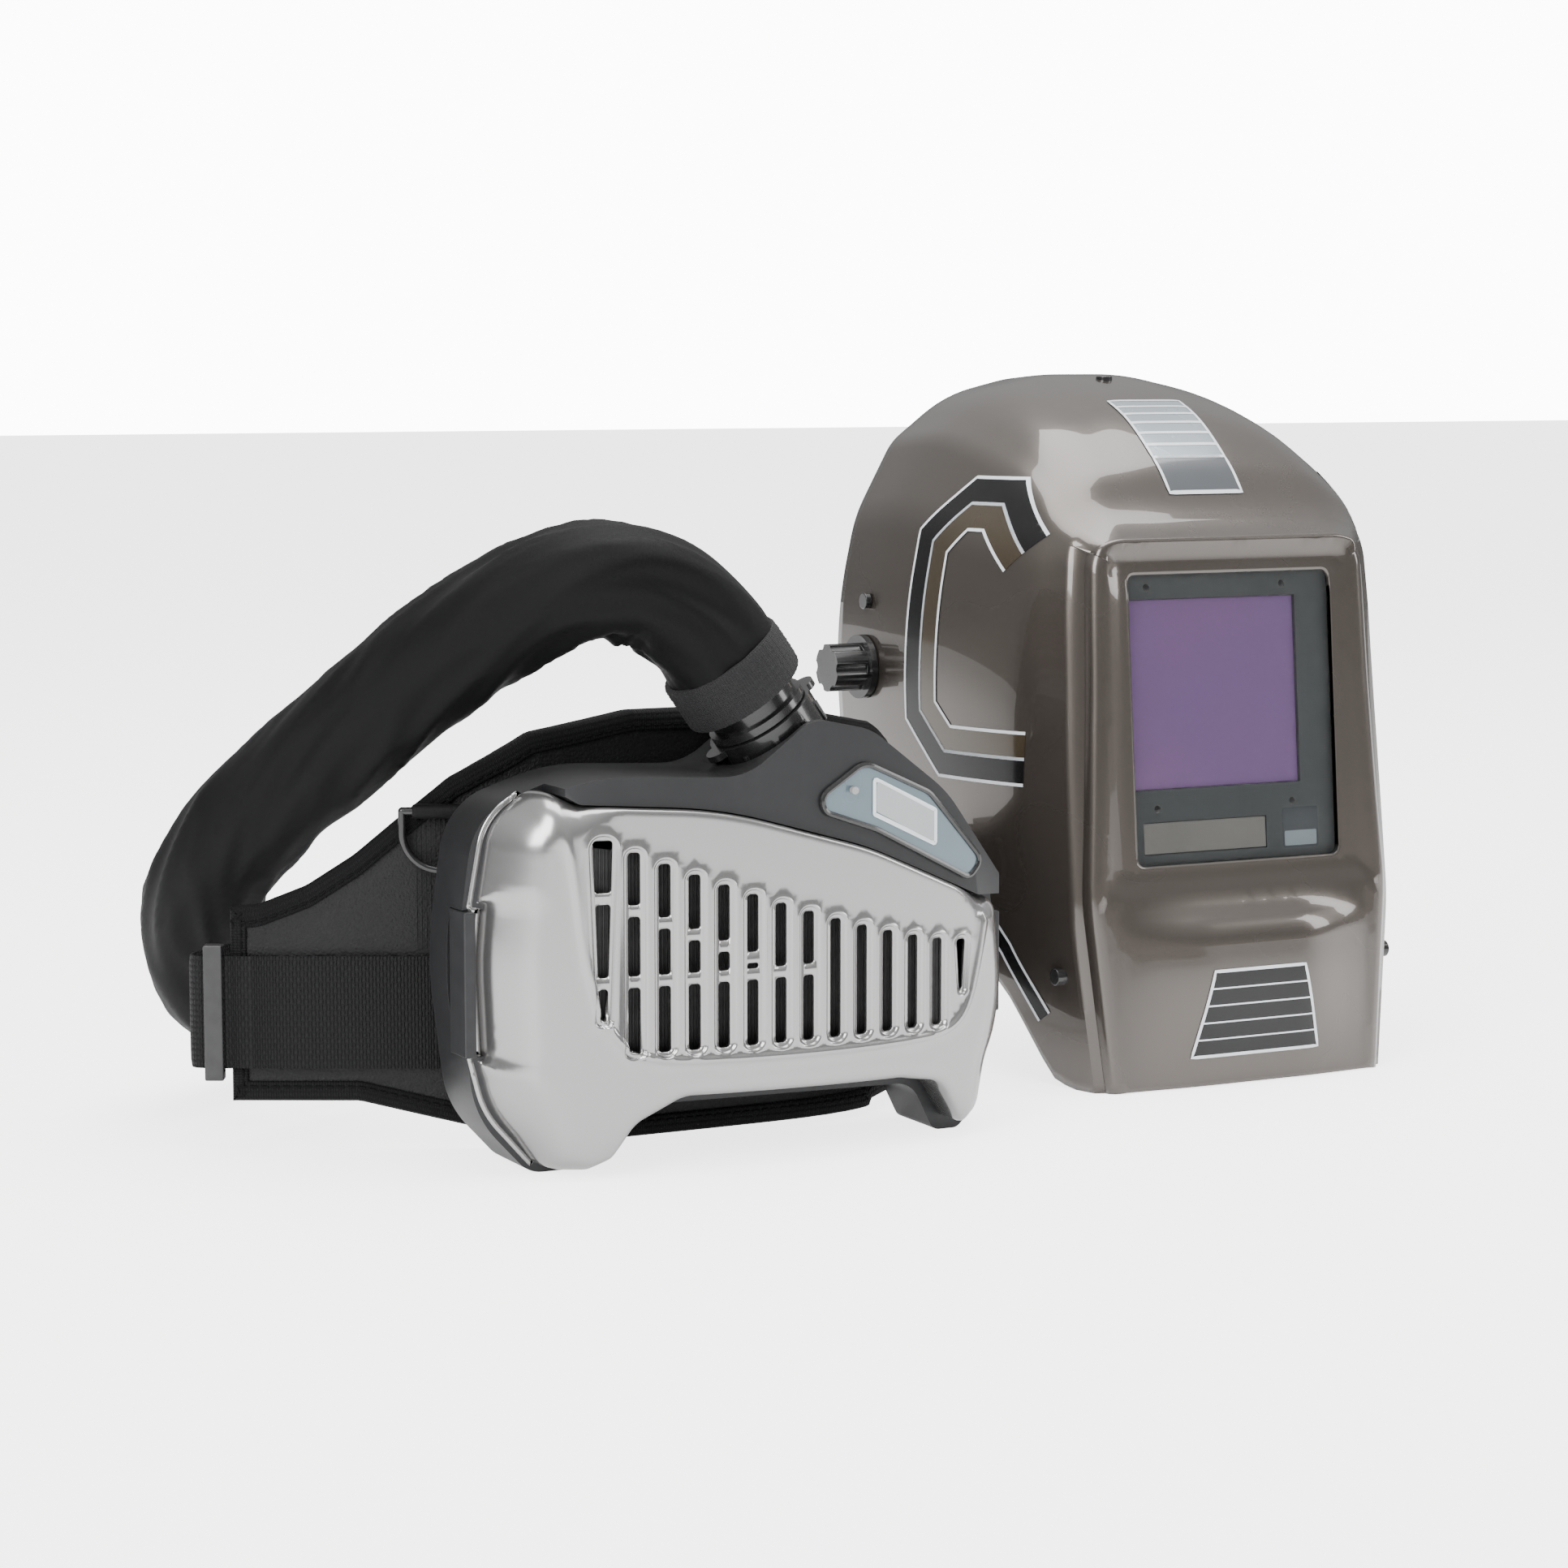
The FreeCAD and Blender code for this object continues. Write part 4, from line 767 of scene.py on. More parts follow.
# ------------------------------------------------------------------ breathing hose
@dataclass
class BreathingHose:
    """Hose in its loose cloth sleeve, from the blower's neck to the helmet's air inlet."""

    neck_base: Point3 = (33.0, 33.0, 170.0)
    neck_tilt: float = 34.0
    sleeve_start: float = 31.0
    radius: float = 25.5
    around: int = 72
    ring_pitch: float = 3.0
    route: tuple[Point3, ...] = (
        (-13.5, 33, 239), (-52, 44, 247), (-92, 74, 223), (-126, 112, 184),
        (-154, 152, 147), (-173, 187, 108), (-166, 218, 69), (-139, 246, 43), (-97, 268, 30),
        (-48, 287, 27), (3, 300, 27), (54, 316, 27), (104, 325, 27), (153, 339, 29),
        (200, 359, 31), (243, 379, 41), (276, 394, 68), (291, 399, 108), (293, 386.8, 152.5),
        (293, 368, 190), (293, 365, 196))

    def axis(self) -> Vector:
        """Direction of the blower's neck."""
        lean = math.radians(self.neck_tilt)
        return Vector((-math.sin(lean), 0, math.cos(lean)))

    def centreline(self, shop: Workshop) -> list[Vector]:
        """Evenly spaced points along the route's smooth spline, in metres."""
        start = Vector(self.neck_base) + self.axis() * self.sleeve_start
        data = bpy.data.curves.new("hose_route", "CURVE")
        data.dimensions = "3D"
        spline = data.splines.new("NURBS")
        corners = [tuple(start)] + list(self.route)
        spline.points.add(len(corners) - 1)
        for held, corner in zip(spline.points, corners):
            held.co = (*shop.at(*corner), 1.0)
        spline.order_u = 3
        spline.use_endpoint_u = True
        data.resolution_u = 24
        route = bpy.data.objects.new("hose_route", data)
        bpy.context.scene.collection.objects.link(route)
        mesh = finished_mesh(route)
        raw = [np.array(v.co) for v in mesh.vertices]
        bpy.data.objects.remove(route)
        lengths = np.concatenate([[0], np.cumsum([np.linalg.norm(b - a)
                                                  for a, b in zip(raw, raw[1:])])])
        count = int(lengths[-1] / (self.ring_pitch * MM))
        wanted = np.linspace(0, lengths[-1], count + 1)
        line = np.array(raw)
        even = np.stack([np.interp(wanted, lengths, line[:, k]) for k in range(3)], 1)
        return [Vector(p) for p in even]

    def fold(self, along: float, angle: float, length: float, bend: float,
             inner: float) -> float:
        """Change of radius in millimetres where the loose cloth folds.

        Args:
            along: distance from the start, in millimetres.
            angle: place round the hose, in radians.
            length: whole length, in millimetres.
            bend: curvature there, per millimetre.
            inner: 1 on the inside of the bend, -1 on its outside.
        """
        twist = angle + along * 0.011
        ring = Vector((math.cos(twist), math.sin(twist), 0)) * 1.5
        ridge = noise.noise(ring + Vector((0, 0, along / 95.0)))
        second = noise.noise(ring * 1.6 + Vector((7.0, 3.0, along / 48.0)))
        slow = noise.noise(Vector((math.cos(angle), math.sin(angle), along / 130.0)))
        depth = 1.3 * (1 - 3.2 * abs(ridge)) + 1.2 * (0.5 - abs(second) * 2.2) + 2.4 * slow
        from_end = min(along, length - along)
        gather = math.exp(-from_end / 16.0)
        depth += 1.0 * gather * math.sin(angle * 13 + 2 * ridge)
        crease = noise.noise(Vector((angle * 0.6, along / 16.0, 2.0)))
        depth += 210.0 * bend * max(inner, 0.0) * (abs(crease) * 1.6 - 0.45)
        depth += 26.0 * bend * max(-inner, 0.0) * noise.noise(Vector((angle, along / 22.0, 9.0)))
        rise = 1 - math.exp(-from_end / 9.0)
        return depth * (0.35 + 0.65 * rise) - 2.3 * (1 - rise)

    def build(self, shop: Workshop) -> None:
        path = self.centreline(shop)
        count = len(path)
        length = self.ring_pitch * (count - 1)
        tangents = [(path[min(k + 1, count - 1)] - path[max(k - 1, 0)]).normalized()
                    for k in range(count)]
        side = tangents[0].cross(Vector((0, 1, 0))).normalized()
        verts: list[Point3] = []
        uv: list[Point2] = []
        for k, (middle, along) in enumerate(zip(path, tangents)):
            side = (side - along * side.dot(along)).normalized()
            up = along.cross(side)
            turn = tangents[min(k + 4, count - 1)] - tangents[max(k - 4, 0)]
            bend = turn.length / (8 * self.ring_pitch)
            towards = turn.normalized() if turn.length > 1e-6 else up
            centre = (middle - shop.shift) / MM
            for j in range(self.around):
                angle = 2 * math.pi * j / self.around
                out = side * math.cos(angle) + up * math.sin(angle)
                radius = self.radius + self.fold(k * self.ring_pitch, angle, length, bend,
                                                 out.dot(towards))
                spot = centre + out * radius
                spot.z = max(spot.z, 0.6)
                verts.append(tuple(spot))
                uv.append((self.radius * angle * MM, k * self.ring_pitch * MM))
        faces = []
        n = self.around
        for k in range(count - 1):
            for j in range(n):
                a, b = k * n + j, k * n + (j + 1) % n
                faces.append((a, a + n, b + n, b))
        faces.append(tuple(range(n)))
        faces.append(tuple(range((count - 1) * n, count * n))[::-1])
        sleeve = shop.piece("hose_cloth_sleeve", verts, faces, "sleeve_fabric", "carrier",
                            ("air_hose", "hose_sleeve"), 75.0, uv=uv)
        bands = [self.band(shop, path, "outlet_knit_band", 0, 7, ("sleeve_bands",)),
                 self.band(shop, path, "inlet_knit_band", count - 8, count - 1, ())]

    def band(self, shop: Workshop, path: list[Vector], name: str, first: int, last: int,
             replaces: Sequence[str]) -> bpy.types.Object:
        """Ribbed knit band pulled over the sleeve's end.

        Args:
            shop: the workshop.
            path: the hose's evenly spaced points.
            name: the piece's name.
            first: index of the path point where it starts.
            last: index where it ends.
            replaces: CAD nodes that it stands for.

        Returns:
            The band.
        """
        verts: list[Point3] = []
        uv: list[Point2] = []
        rows = [(first, -1.6), (first, 0.3), (first + 0.5, 1.0)]
        steps = 12
        for k in range(1, steps):
            at = first + 0.5 + (last - first - 1.0) * k / steps
            rows.append((at, 0.95 + 0.22 * math.cos(k * math.pi)))
        rows += [(last - 0.5, 1.0), (last, 0.3), (last, -1.6)]
        around = 144
        along = (path[min(last, len(path) - 1)] - path[first]).normalized()
        side = along.cross(Vector((0, 1, 0))).normalized()
        up = along.cross(side)
        for at, lift in rows:
            low = int(min(at, len(path) - 2))
            middle = (path[low].lerp(path[low + 1], at - low) - shop.shift) / MM
            for j in range(around):
                angle = 2 * math.pi * j / around
                rib = 0.18 * math.cos(angle * 48)
                spot = middle + (side * math.cos(angle) + up * math.sin(angle)) * (
                    self.radius + 0.6 + lift + rib)
                verts.append(tuple(spot))
                uv.append((self.radius * angle * MM, at * self.ring_pitch * MM))
        faces = [(k * around + j, (k + 1) * around + j, (k + 1) * around + (j + 1) % around,
                  k * around + (j + 1) % around)
                 for k in range(len(rows) - 1) for j in range(around)]
        top = (len(rows) - 1) * around
        faces += [(top + j, j, (j + 1) % around, top + (j + 1) % around)
                  for j in range(around)]
        return shop.piece(name, verts, faces, "knit_band", "carrier", replaces,
                          50.0, uv=uv)


# ------------------------------------------------------------------ blower front cover
@dataclass
class BlowerCover:
    """Silver bowed cover with a raised bead and rimmed vent slots."""

    centre_x: float = 12.0
    bow: float = 480.0
    parting: float = 33.7
    wall: float = 2.3
    slots: int = 14
    pitch: float = 13.1
    first_x: float = -62.0
    slot_half: float = 2.7
    rim: float = 2.2
    foot: float = 52.0
    bridge: float = 4.6
    outline: tuple[tuple[float, float, float], ...] = (
        (-80, 2, 12), (-103, 28, 40), (-109, 51, 0.6), (-105.4, 51.2, 0.6), (-107.2, 90, 160),
        (-105, 112.8, 0.6), (-108.6, 113, 0.6), (-102, 148, 24), (-82, 162, 10),
        (-70, 155, 5), (-10, 151, 200), (60, 131, 160), (120, 105, 4), (133, 103, 10),
        (138, 62, 80), (124, 10, 14), (112, 5, 4), (99, 26, 12), (78, 30, 14),
        (-26, 32, 16), (-47, 22, 16), (-57, 8, 8), (-66, 3, 6))
    bead: tuple[Point2, ...] = (
        (-77, 146), (-73, 121), (-70, 94), (-65, 74), (-57, 58), (-44, 49.5), (-20, 47.5),
        (40, 46.5), (84, 47), (102, 49), (112, 58), (118, 80), (121, 96))

    def slot_top(self, index: int) -> float:
        """Height of a slot's head."""
        share = (self.slots - 1 - index) / (self.slots - 1)
        return 88.0 + 53.0 * share ** 1.35

    def stadium(self, x: float, low: float, high: float, half: float,
                taper: float = 0.0) -> list[Point2]:
        """Rounded upright slot outline; a taper narrows its foot."""
        foot = half * (1 - taper)
        corners = [(x - foot, low, foot), (x - half, high, half), (x + half, high, half),
                   (x + foot, low, foot)]
        return rounded(corners, 0.7)

    def slot_shapes(self) -> tuple[list[list[Point2]], list[list[Point2]]]:
        """Rims of the slots, and the openings between their bridges."""
        rims, holes = [], []
        for index in range(self.slots):
            x = self.first_x + self.pitch * index
            top = self.slot_top(index)
            edge = index in (0, self.slots - 1)
            low = self.foot + (14 if edge else 0)
            half = self.slot_half + (1.6 if index == 0 else 0)
            taper = 0.62 if edge else 0.0
            rims.append(self.stadium(x, low - self.rim, top + self.rim, half + self.rim,
                                     taper * 0.75))
            bridges = []
            if index <= 5:
                bridges.append(117.0 - 5.6 * index)
            if index <= 7:
                bridges.append(82.0)
            cuts = [low]
            for bridge in sorted(bridges):
                cuts += [bridge - self.bridge / 2, bridge + self.bridge / 2]
            cuts.append(top)
            for a, b in zip(cuts[::2], cuts[1::2]):
                if b - a < 2:
                    continue
                wide_a = half * (1 - taper * (top - a) / (top - low))
                wide_b = half * (1 - taper * (top - b) / (top - low))
                corners = [(x - wide_a, a, 1.6), (x - wide_b, b, 1.6), (x + wide_b, b, 1.6),
                           (x + wide_a, a, 1.6)]
                holes.append(rounded(corners, 0.5))
        return rims, holes

    def front(self, points: np.ndarray, edge: list[Point2], bead: list[np.ndarray],
              rims: list[list[Point2]]) -> np.ndarray:
        """Depth of the front surface at each point."""
        x, z = points[:, 0], points[:, 1]
        depth = self.bow - np.sqrt(self.bow ** 2 - (x - self.centre_x) ** 2)
        gap = distance_to(points, edge, True)
        radius = 2.0 + 27.0 * smoothstep((-52 - x) / 48) + 12.0 * smoothstep((x - 104) / 24)
        radius += 4.0 * smoothstep((46 - z) / 16)
        radius = np.minimum(radius, 30.0)
        short = np.clip(radius - gap, 0, None)
        depth += radius - np.sqrt(np.clip(radius ** 2 - short ** 2, 0, None))
        ridge = distance_to(points, bead)
        fade = smoothstep((148 - z) / 14)
        depth -= 1.1 * fade * np.clip(1 - (ridge / 2.1) ** 2, 0, None) ** 1.5
        outside_bead = smoothstep((ridge - 1.2) / 2.2)
        loop = list(bead) + [np.array((121.0, 190.0)), np.array((-77.0, 190.0))]
        field_side = inside(points, loop)
        depth += np.where(field_side, 0.0, 0.7 * outside_bead * fade)
        for rim in rims:
            near = (np.abs(x - rim[0][0]) < 14)
            if not near.any():
                continue
            spot = points[near]
            gap = distance_to(spot, rim, True)
            signed = np.where(inside(spot, rim), -gap, gap)
            change = 0.9 * smoothstep(-signed / 0.9) - 0.45 * np.exp(-((signed - 0.6) / 0.6) ** 2)
            depth[near] += change
        return depth

    def build(self, shop: Workshop) -> None:
        """Make the cover shell."""
        edge = [tuple(p) for p in resampled(rounded(self.outline), 2.0, True)]
        bead = resampled(softened(self.bead, 2), 1.6)
        rims, holes = self.slot_shapes()
        guides = [(beside(bead, side), False) for side in (-2.1, -1.4, -0.7, 0, 0.7, 1.4, 2.1,
                                                           3.4)]
        for rim in rims:
            guides += [(beside(rim, side, True), True) for side in (-1.3, -0.6, 0, 0.45, 0.9)]
        guides += [(beside(edge, side, True), True) for side in (0.5, 1.2, 2.0, 3.5)]
        points, faces = relief(edge, holes, guides, 3.0)
        depth = self.front(points, edge, bead, rims)
        verts = [(x, y, z) for (x, z), y in zip(points, depth)]
        lookup = {(round(x, 3), round(z, 3)): k for k, (x, z) in enumerate(points)}
        ring = [lookup[(round(x, 3), round(z, 3))] for x, z in edge]
        back = []
        for k in ring:
            back.append(len(verts))
            verts.append((verts[k][0], self.parting, verts[k][2]))
        count = len(ring)
        walls = [(ring[k], ring[(k + 1) % count], back[(k + 1) % count], back[k])
                 for k in range(count)]
        cover = shop.piece("vented_cover", verts, list(faces) + walls, "silver_paint",
                           "filter_cover", replaces=("front_cover",), sharp=50.0)
        solid = cover.modifiers.new("wall", "SOLIDIFY")
        solid.thickness = self.wall * MM
        solid.offset = -1.0


# ------------------------------------------------------------------ welding helmet
@dataclass
class HelmetShell:
    """Open-backed lacquered shell with its creased sides, brow and window surround."""

    middle: float = 293.0
    window_y: float = 76.0
    window_z: float = 170.0
    window: Point2 = (112.0, 134.0)
    rear_y: float = 252.0
    wall: float = 2.6
    chin_z: float = 88.0
    side_round: float = 7.0
    brow_round: float = 2.2
    beak: float = 12.0
    beak_half: float = 24.0
    stations: tuple[tuple[float, float, tuple[Point2, ...]], ...] = (
        (76, 5, ((26, 254), (62, 254), (72, 251), (76, 243), (77, 220), (78, 187),
                 (81, 130), (84, 88), (74, -12))),
        (90, 5, ((26, 266), (64, 264), (80, 257), (84, 246), (86, 220), (87, 187),
                 (89, 130), (90, 78), (80, -12))),
        (112, 2, ((24, 286), (64, 283), (84, 270), (95, 248), (98, 220), (100, 187),
                  (101, 130), (98, 60), (86, -12))),
        (150, 0, ((22, 311), (60, 305), (86, 286), (104, 254), (110, 220), (112, 187),
                  (110, 130), (104, 60), (90, -12))),
        (205, 0, ((20, 327), (58, 319), (88, 298), (108, 262), (116, 222), (118, 187),
                  (115, 130), (105, 60), (88, -12))),
        (262, 0, ((20, 326), (58, 317), (88, 294), (108, 258), (116, 222), (118, 187),
                  (114, 130), (104, 60), (86, -12))))
    corner_reach: tuple[float, ...] = (14, 16, 6, 10, 18, 26, 26, 9, 4)
    rim: tuple[Point2, ...] = (
        (20, 0), (84, 0), (96, 4), (118, 38), (165, 86), (222, 131), (266, 168), (300, 204))

    def controls(self, y: float) -> tuple[np.ndarray, float]:
        """Section corners and lean at a distance back, eased between the stations."""
        ys = np.array([row[0] for row in self.stations], float)
        table = np.array([[row[1], 0] if k < 0 else row[2][k] for row in self.stations
                          for k in range(-1, 9)], float).reshape(len(ys), 10, 2)
        k = int(np.clip(np.searchsorted(ys, y) - 1, 0, len(ys) - 2))
        span = ys[k + 1] - ys[k]
        t = (y - ys[k]) / span
        slopes = []
        for j in (k, k + 1):
            low, high = max(j - 1, 0), min(j + 1, len(ys) - 1)
            slopes.append((table[high] - table[low]) / (ys[high] - ys[low]) * span)
        a, b = table[k], table[k + 1]
        value = ((2 * t ** 3 - 3 * t ** 2 + 1) * a + (t ** 3 - 2 * t ** 2 + t) * slopes[0]
                 + (3 * t ** 2 - 2 * t ** 3) * b + (t ** 3 - t ** 2) * slopes[1])
        return value[1:], float(value[0, 0])

    def section(self, corners: np.ndarray, foot: float) -> np.ndarray:
        """Half section from the crown to the rim, with the same number of points each time."""
        line = [np.array((0.0, corners[0][1]))] + list(corners)
        out: list[np.ndarray] = [line[0]]
        for index in range(1, len(line) - 1):
            before, here, after = line[index - 1], line[index], line[index + 1]
            one, two = here - before, after - here
            reach = min(self.corner_reach[index - 1], 0.46 * float(np.hypot(*one)),
                        0.46 * float(np.hypot(*two)))
            start = here - one / np.hypot(*one) * reach
            end = here + two / np.hypot(*two) * reach
            previous = out[-1]
            out += [previous + (start - previous) * k / 4 for k in range(1, 4)]
            for k in range(7):
                t = k / 6
                out.append((1 - t) ** 2 * start + 2 * t * (1 - t) * here + t ** 2 * end)
            if index == 5:
                upper = len(out)
        out += [out[-1] + (line[-1] - out[-1]) * k / 4 for k in range(1, 5)]
        dense = np.array(out)
        head = dense[:upper]
        zs = np.linspace(head[-1][1], foot, 44)[1:]
        order = np.argsort(dense[:, 1])
        widths = np.interp(zs, dense[order, 1], dense[order, 0])
        return np.vstack([head, np.stack([widths, zs], 1)])

    def rim_height(self, y: float, slope: float) -> float:
        """Height where a section meets the rim."""
        ys = [p[0] for p in self.rim]
        zs = [p[1] for p in self.rim]
        z = 60.0
        for _ in range(8):
            z = float(np.interp(y + (z - self.window_z) * slope, ys, zs))
        return z

    def plane(self, z: np.ndarray) -> np.ndarray:
        """Depth of the flat leaning front at a height."""
        return self.window_y + (z - self.window_z) * math.tan(math.radians(5))

    def front(self, points: np.ndarray, ring: np.ndarray) -> np.ndarray:
        """Depth of the front: the window surround slopes in, the chin falls away."""
        z = points[:, 1]
        depth = self.plane(z)
        gap = distance_to(points, ring)
        above = np.clip(z - self.chin_z, 0, None)
        inward = np.minimum(gap, above)
        brow = smoothstep((z - 225) / 20)
        depth += (2.0 + 1.6 * brow) * smoothstep(inward / (11 - 4 * brow))
        across = 1 - smoothstep((np.abs(points[:, 0] - self.middle) - self.beak_half) / 50)
        drop = smoothstep((self.chin_z - z) / 16) * smoothstep((z + 22) / 80)
        depth -= self.beak * across * drop * smoothstep(gap / 10)
        return depth

    def surface(self) -> tuple[list[Point3], list[tuple[int, ...]], list[Point3]]:
        """Outer skin, and the window's edge loop."""
        rows = []
        for y in np.concatenate([np.arange(self.rear_y, 91, -4.5), [88, 85.5]]):
            corners, lean = self.controls(float(y))
            slope = math.tan(math.radians(lean))
            half = self.section(corners, self.rim_height(float(y), slope))
            rows.append([(w, y + (z - self.window_z) * slope, z) for w, z in half])
        corners, lean = self.controls(self.window_y)
        edge = self.section(corners, 0.0)
        run = np.gradient(edge, axis=0)
        run /= np.hypot(run[:, 0], run[:, 1])[:, None]
        inward = np.stack([run[:, 1], -run[:, 0]], 1)
        radius = np.where(edge[:, 1] > 249, self.brow_round, self.side_round)
        radius = np.convolve(np.pad(radius, 3, mode="edge"), np.ones(7) / 7, "valid")
        for angle in (0, 22.5, 45, 67.5, 90):
            c, s = math.cos(math.radians(angle)), math.sin(math.radians(angle))
            spot = edge + inward * (radius * (1 - c))[:, None]
            spot[:, 0] = np.maximum(spot[:, 0], 0)
            spot[:, 1] = np.maximum(spot[:, 1], 0)
            depth = self.plane(spot[:, 1]) + radius * (1 - s)
            rows.append([(w, y, z) for (w, z), y in zip(spot, depth)])
        verts: list[Point3] = []
        faces: list[tuple[int, ...]] = []
        width = 2 * len(rows[0]) - 1
        for row in rows:
            left = [(self.middle - w, y, z) for w, y, z in row[::-1]]
            verts += left + [(self.middle + w, y, z) for w, y, z in row[1:]]
        for r in range(len(rows) - 1):
            for k in range(width - 1):
                a = r * width + k
                faces.append((a, a + 1, a + 1 + width, a + width))
        ring = [(v[0], v[2]) for v in verts[-width:]]
        sill = resampled([ring[-1], ring[0]], 4.0)[1:-1]
        outline = ring + [tuple(p) for p in sill]
        w, h = self.window[0] / 2, self.window[1] / 2
        x, z = self.middle, self.window_z
        hole = rounded([(x - w, z - h, 4), (x - w, z + h, 4), (x + w, z + h, 4),
                        (x + w, z - h, 4)], 0.8)
        hole = [tuple(p) for p in resampled(hole, 4.0, True)]
        guides = [(beside(hole, side, True), True) for side in (-1.5, -4.0)]
        guides.append((resampled([(x - 77, self.chin_z), (x + 77, self.chin_z)], 3.0), False))
        guides.append((resampled([(x - 72, 70), (x + 72, 70)], 4.0), False))
        points, front = relief(outline, [hole], guides, 4.0)
        depth = self.front(points, np.array(ring))
        base = len(verts)
        verts += [(px, y, pz) for (px, pz), y in zip(points, depth)]
        faces += [tuple(base + k for k in f) for f in front]
        spots = np.array(hole)
        loop = [(px, y, pz) for (px, pz), y in zip(spots, self.front(spots, np.array(ring)))]
        return verts, faces, loop

    def build(self, shop: Workshop) -> BVHTree:
        """Make the shell and its dark window edge; give back the skin for the graphics."""
        verts, faces, loop = self.surface()
        shell = shop.piece("lacquered_shell", verts, faces, "helmet_paint", "visor",
                           replaces=("helmet_shell",), sharp=42.0)
        tree = BVHTree.FromObject(shell, bpy.context.evaluated_depsgraph_get())
        shell.data.materials.append(shop.finishes["shell_inside"])
        solid = shell.modifiers.new("wall", "SOLIDIFY")
        solid.thickness = self.wall * MM
        solid.offset = -1.0
        solid.material_offset = 1
        n = len(loop)
        edge = list(loop)
        edge += [(x, y + 3.4, z) for x, y, z in loop]
        walls = [(k, (k + 1) % n, n + (k + 1) % n, n + k) for k in range(n)]
        shop.piece("window_edge", edge, walls, "black_gloss_plastic", "visor")
        return tree


class Facing(Enum):
    """Side that a printed shape is drawn and laid on from."""

    SIDE = "side"      # points are (y, z)
    FRONT = "front"    # points are (offset from the middle, z)
    TOP = "top"        # points are (offset from the middle, y)


@dataclass(frozen=True)
class Print:
    """One printed area, or a line where it has a width."""

    facing: Facing
    finish: str
    points: tuple[Point2, ...]
    width: float = 0.0
    closed: bool = False


def mitred(points: Sequence[Point2], distance: float) -> tuple[Point2, ...]:
    """Parallel open line whose corners keep the same distance; positive is to the right."""
    line = [np.array(p, float) for p in points]
    runs = [(b - a) / np.hypot(*(b - a)) for a, b in zip(line, line[1:])]
    sides = [np.array((r[1], -r[0])) for r in runs]
    out = [line[0] + sides[0] * distance]
    for p, one, two in zip(line[1:-1], sides, sides[1:]):
        out.append(p + (one + two) * distance / max(1 + float(one @ two), 0.4))
    out.append(line[-1] + sides[-1] * distance)
    return tuple((float(p[0]), float(p[1])) for p in out)


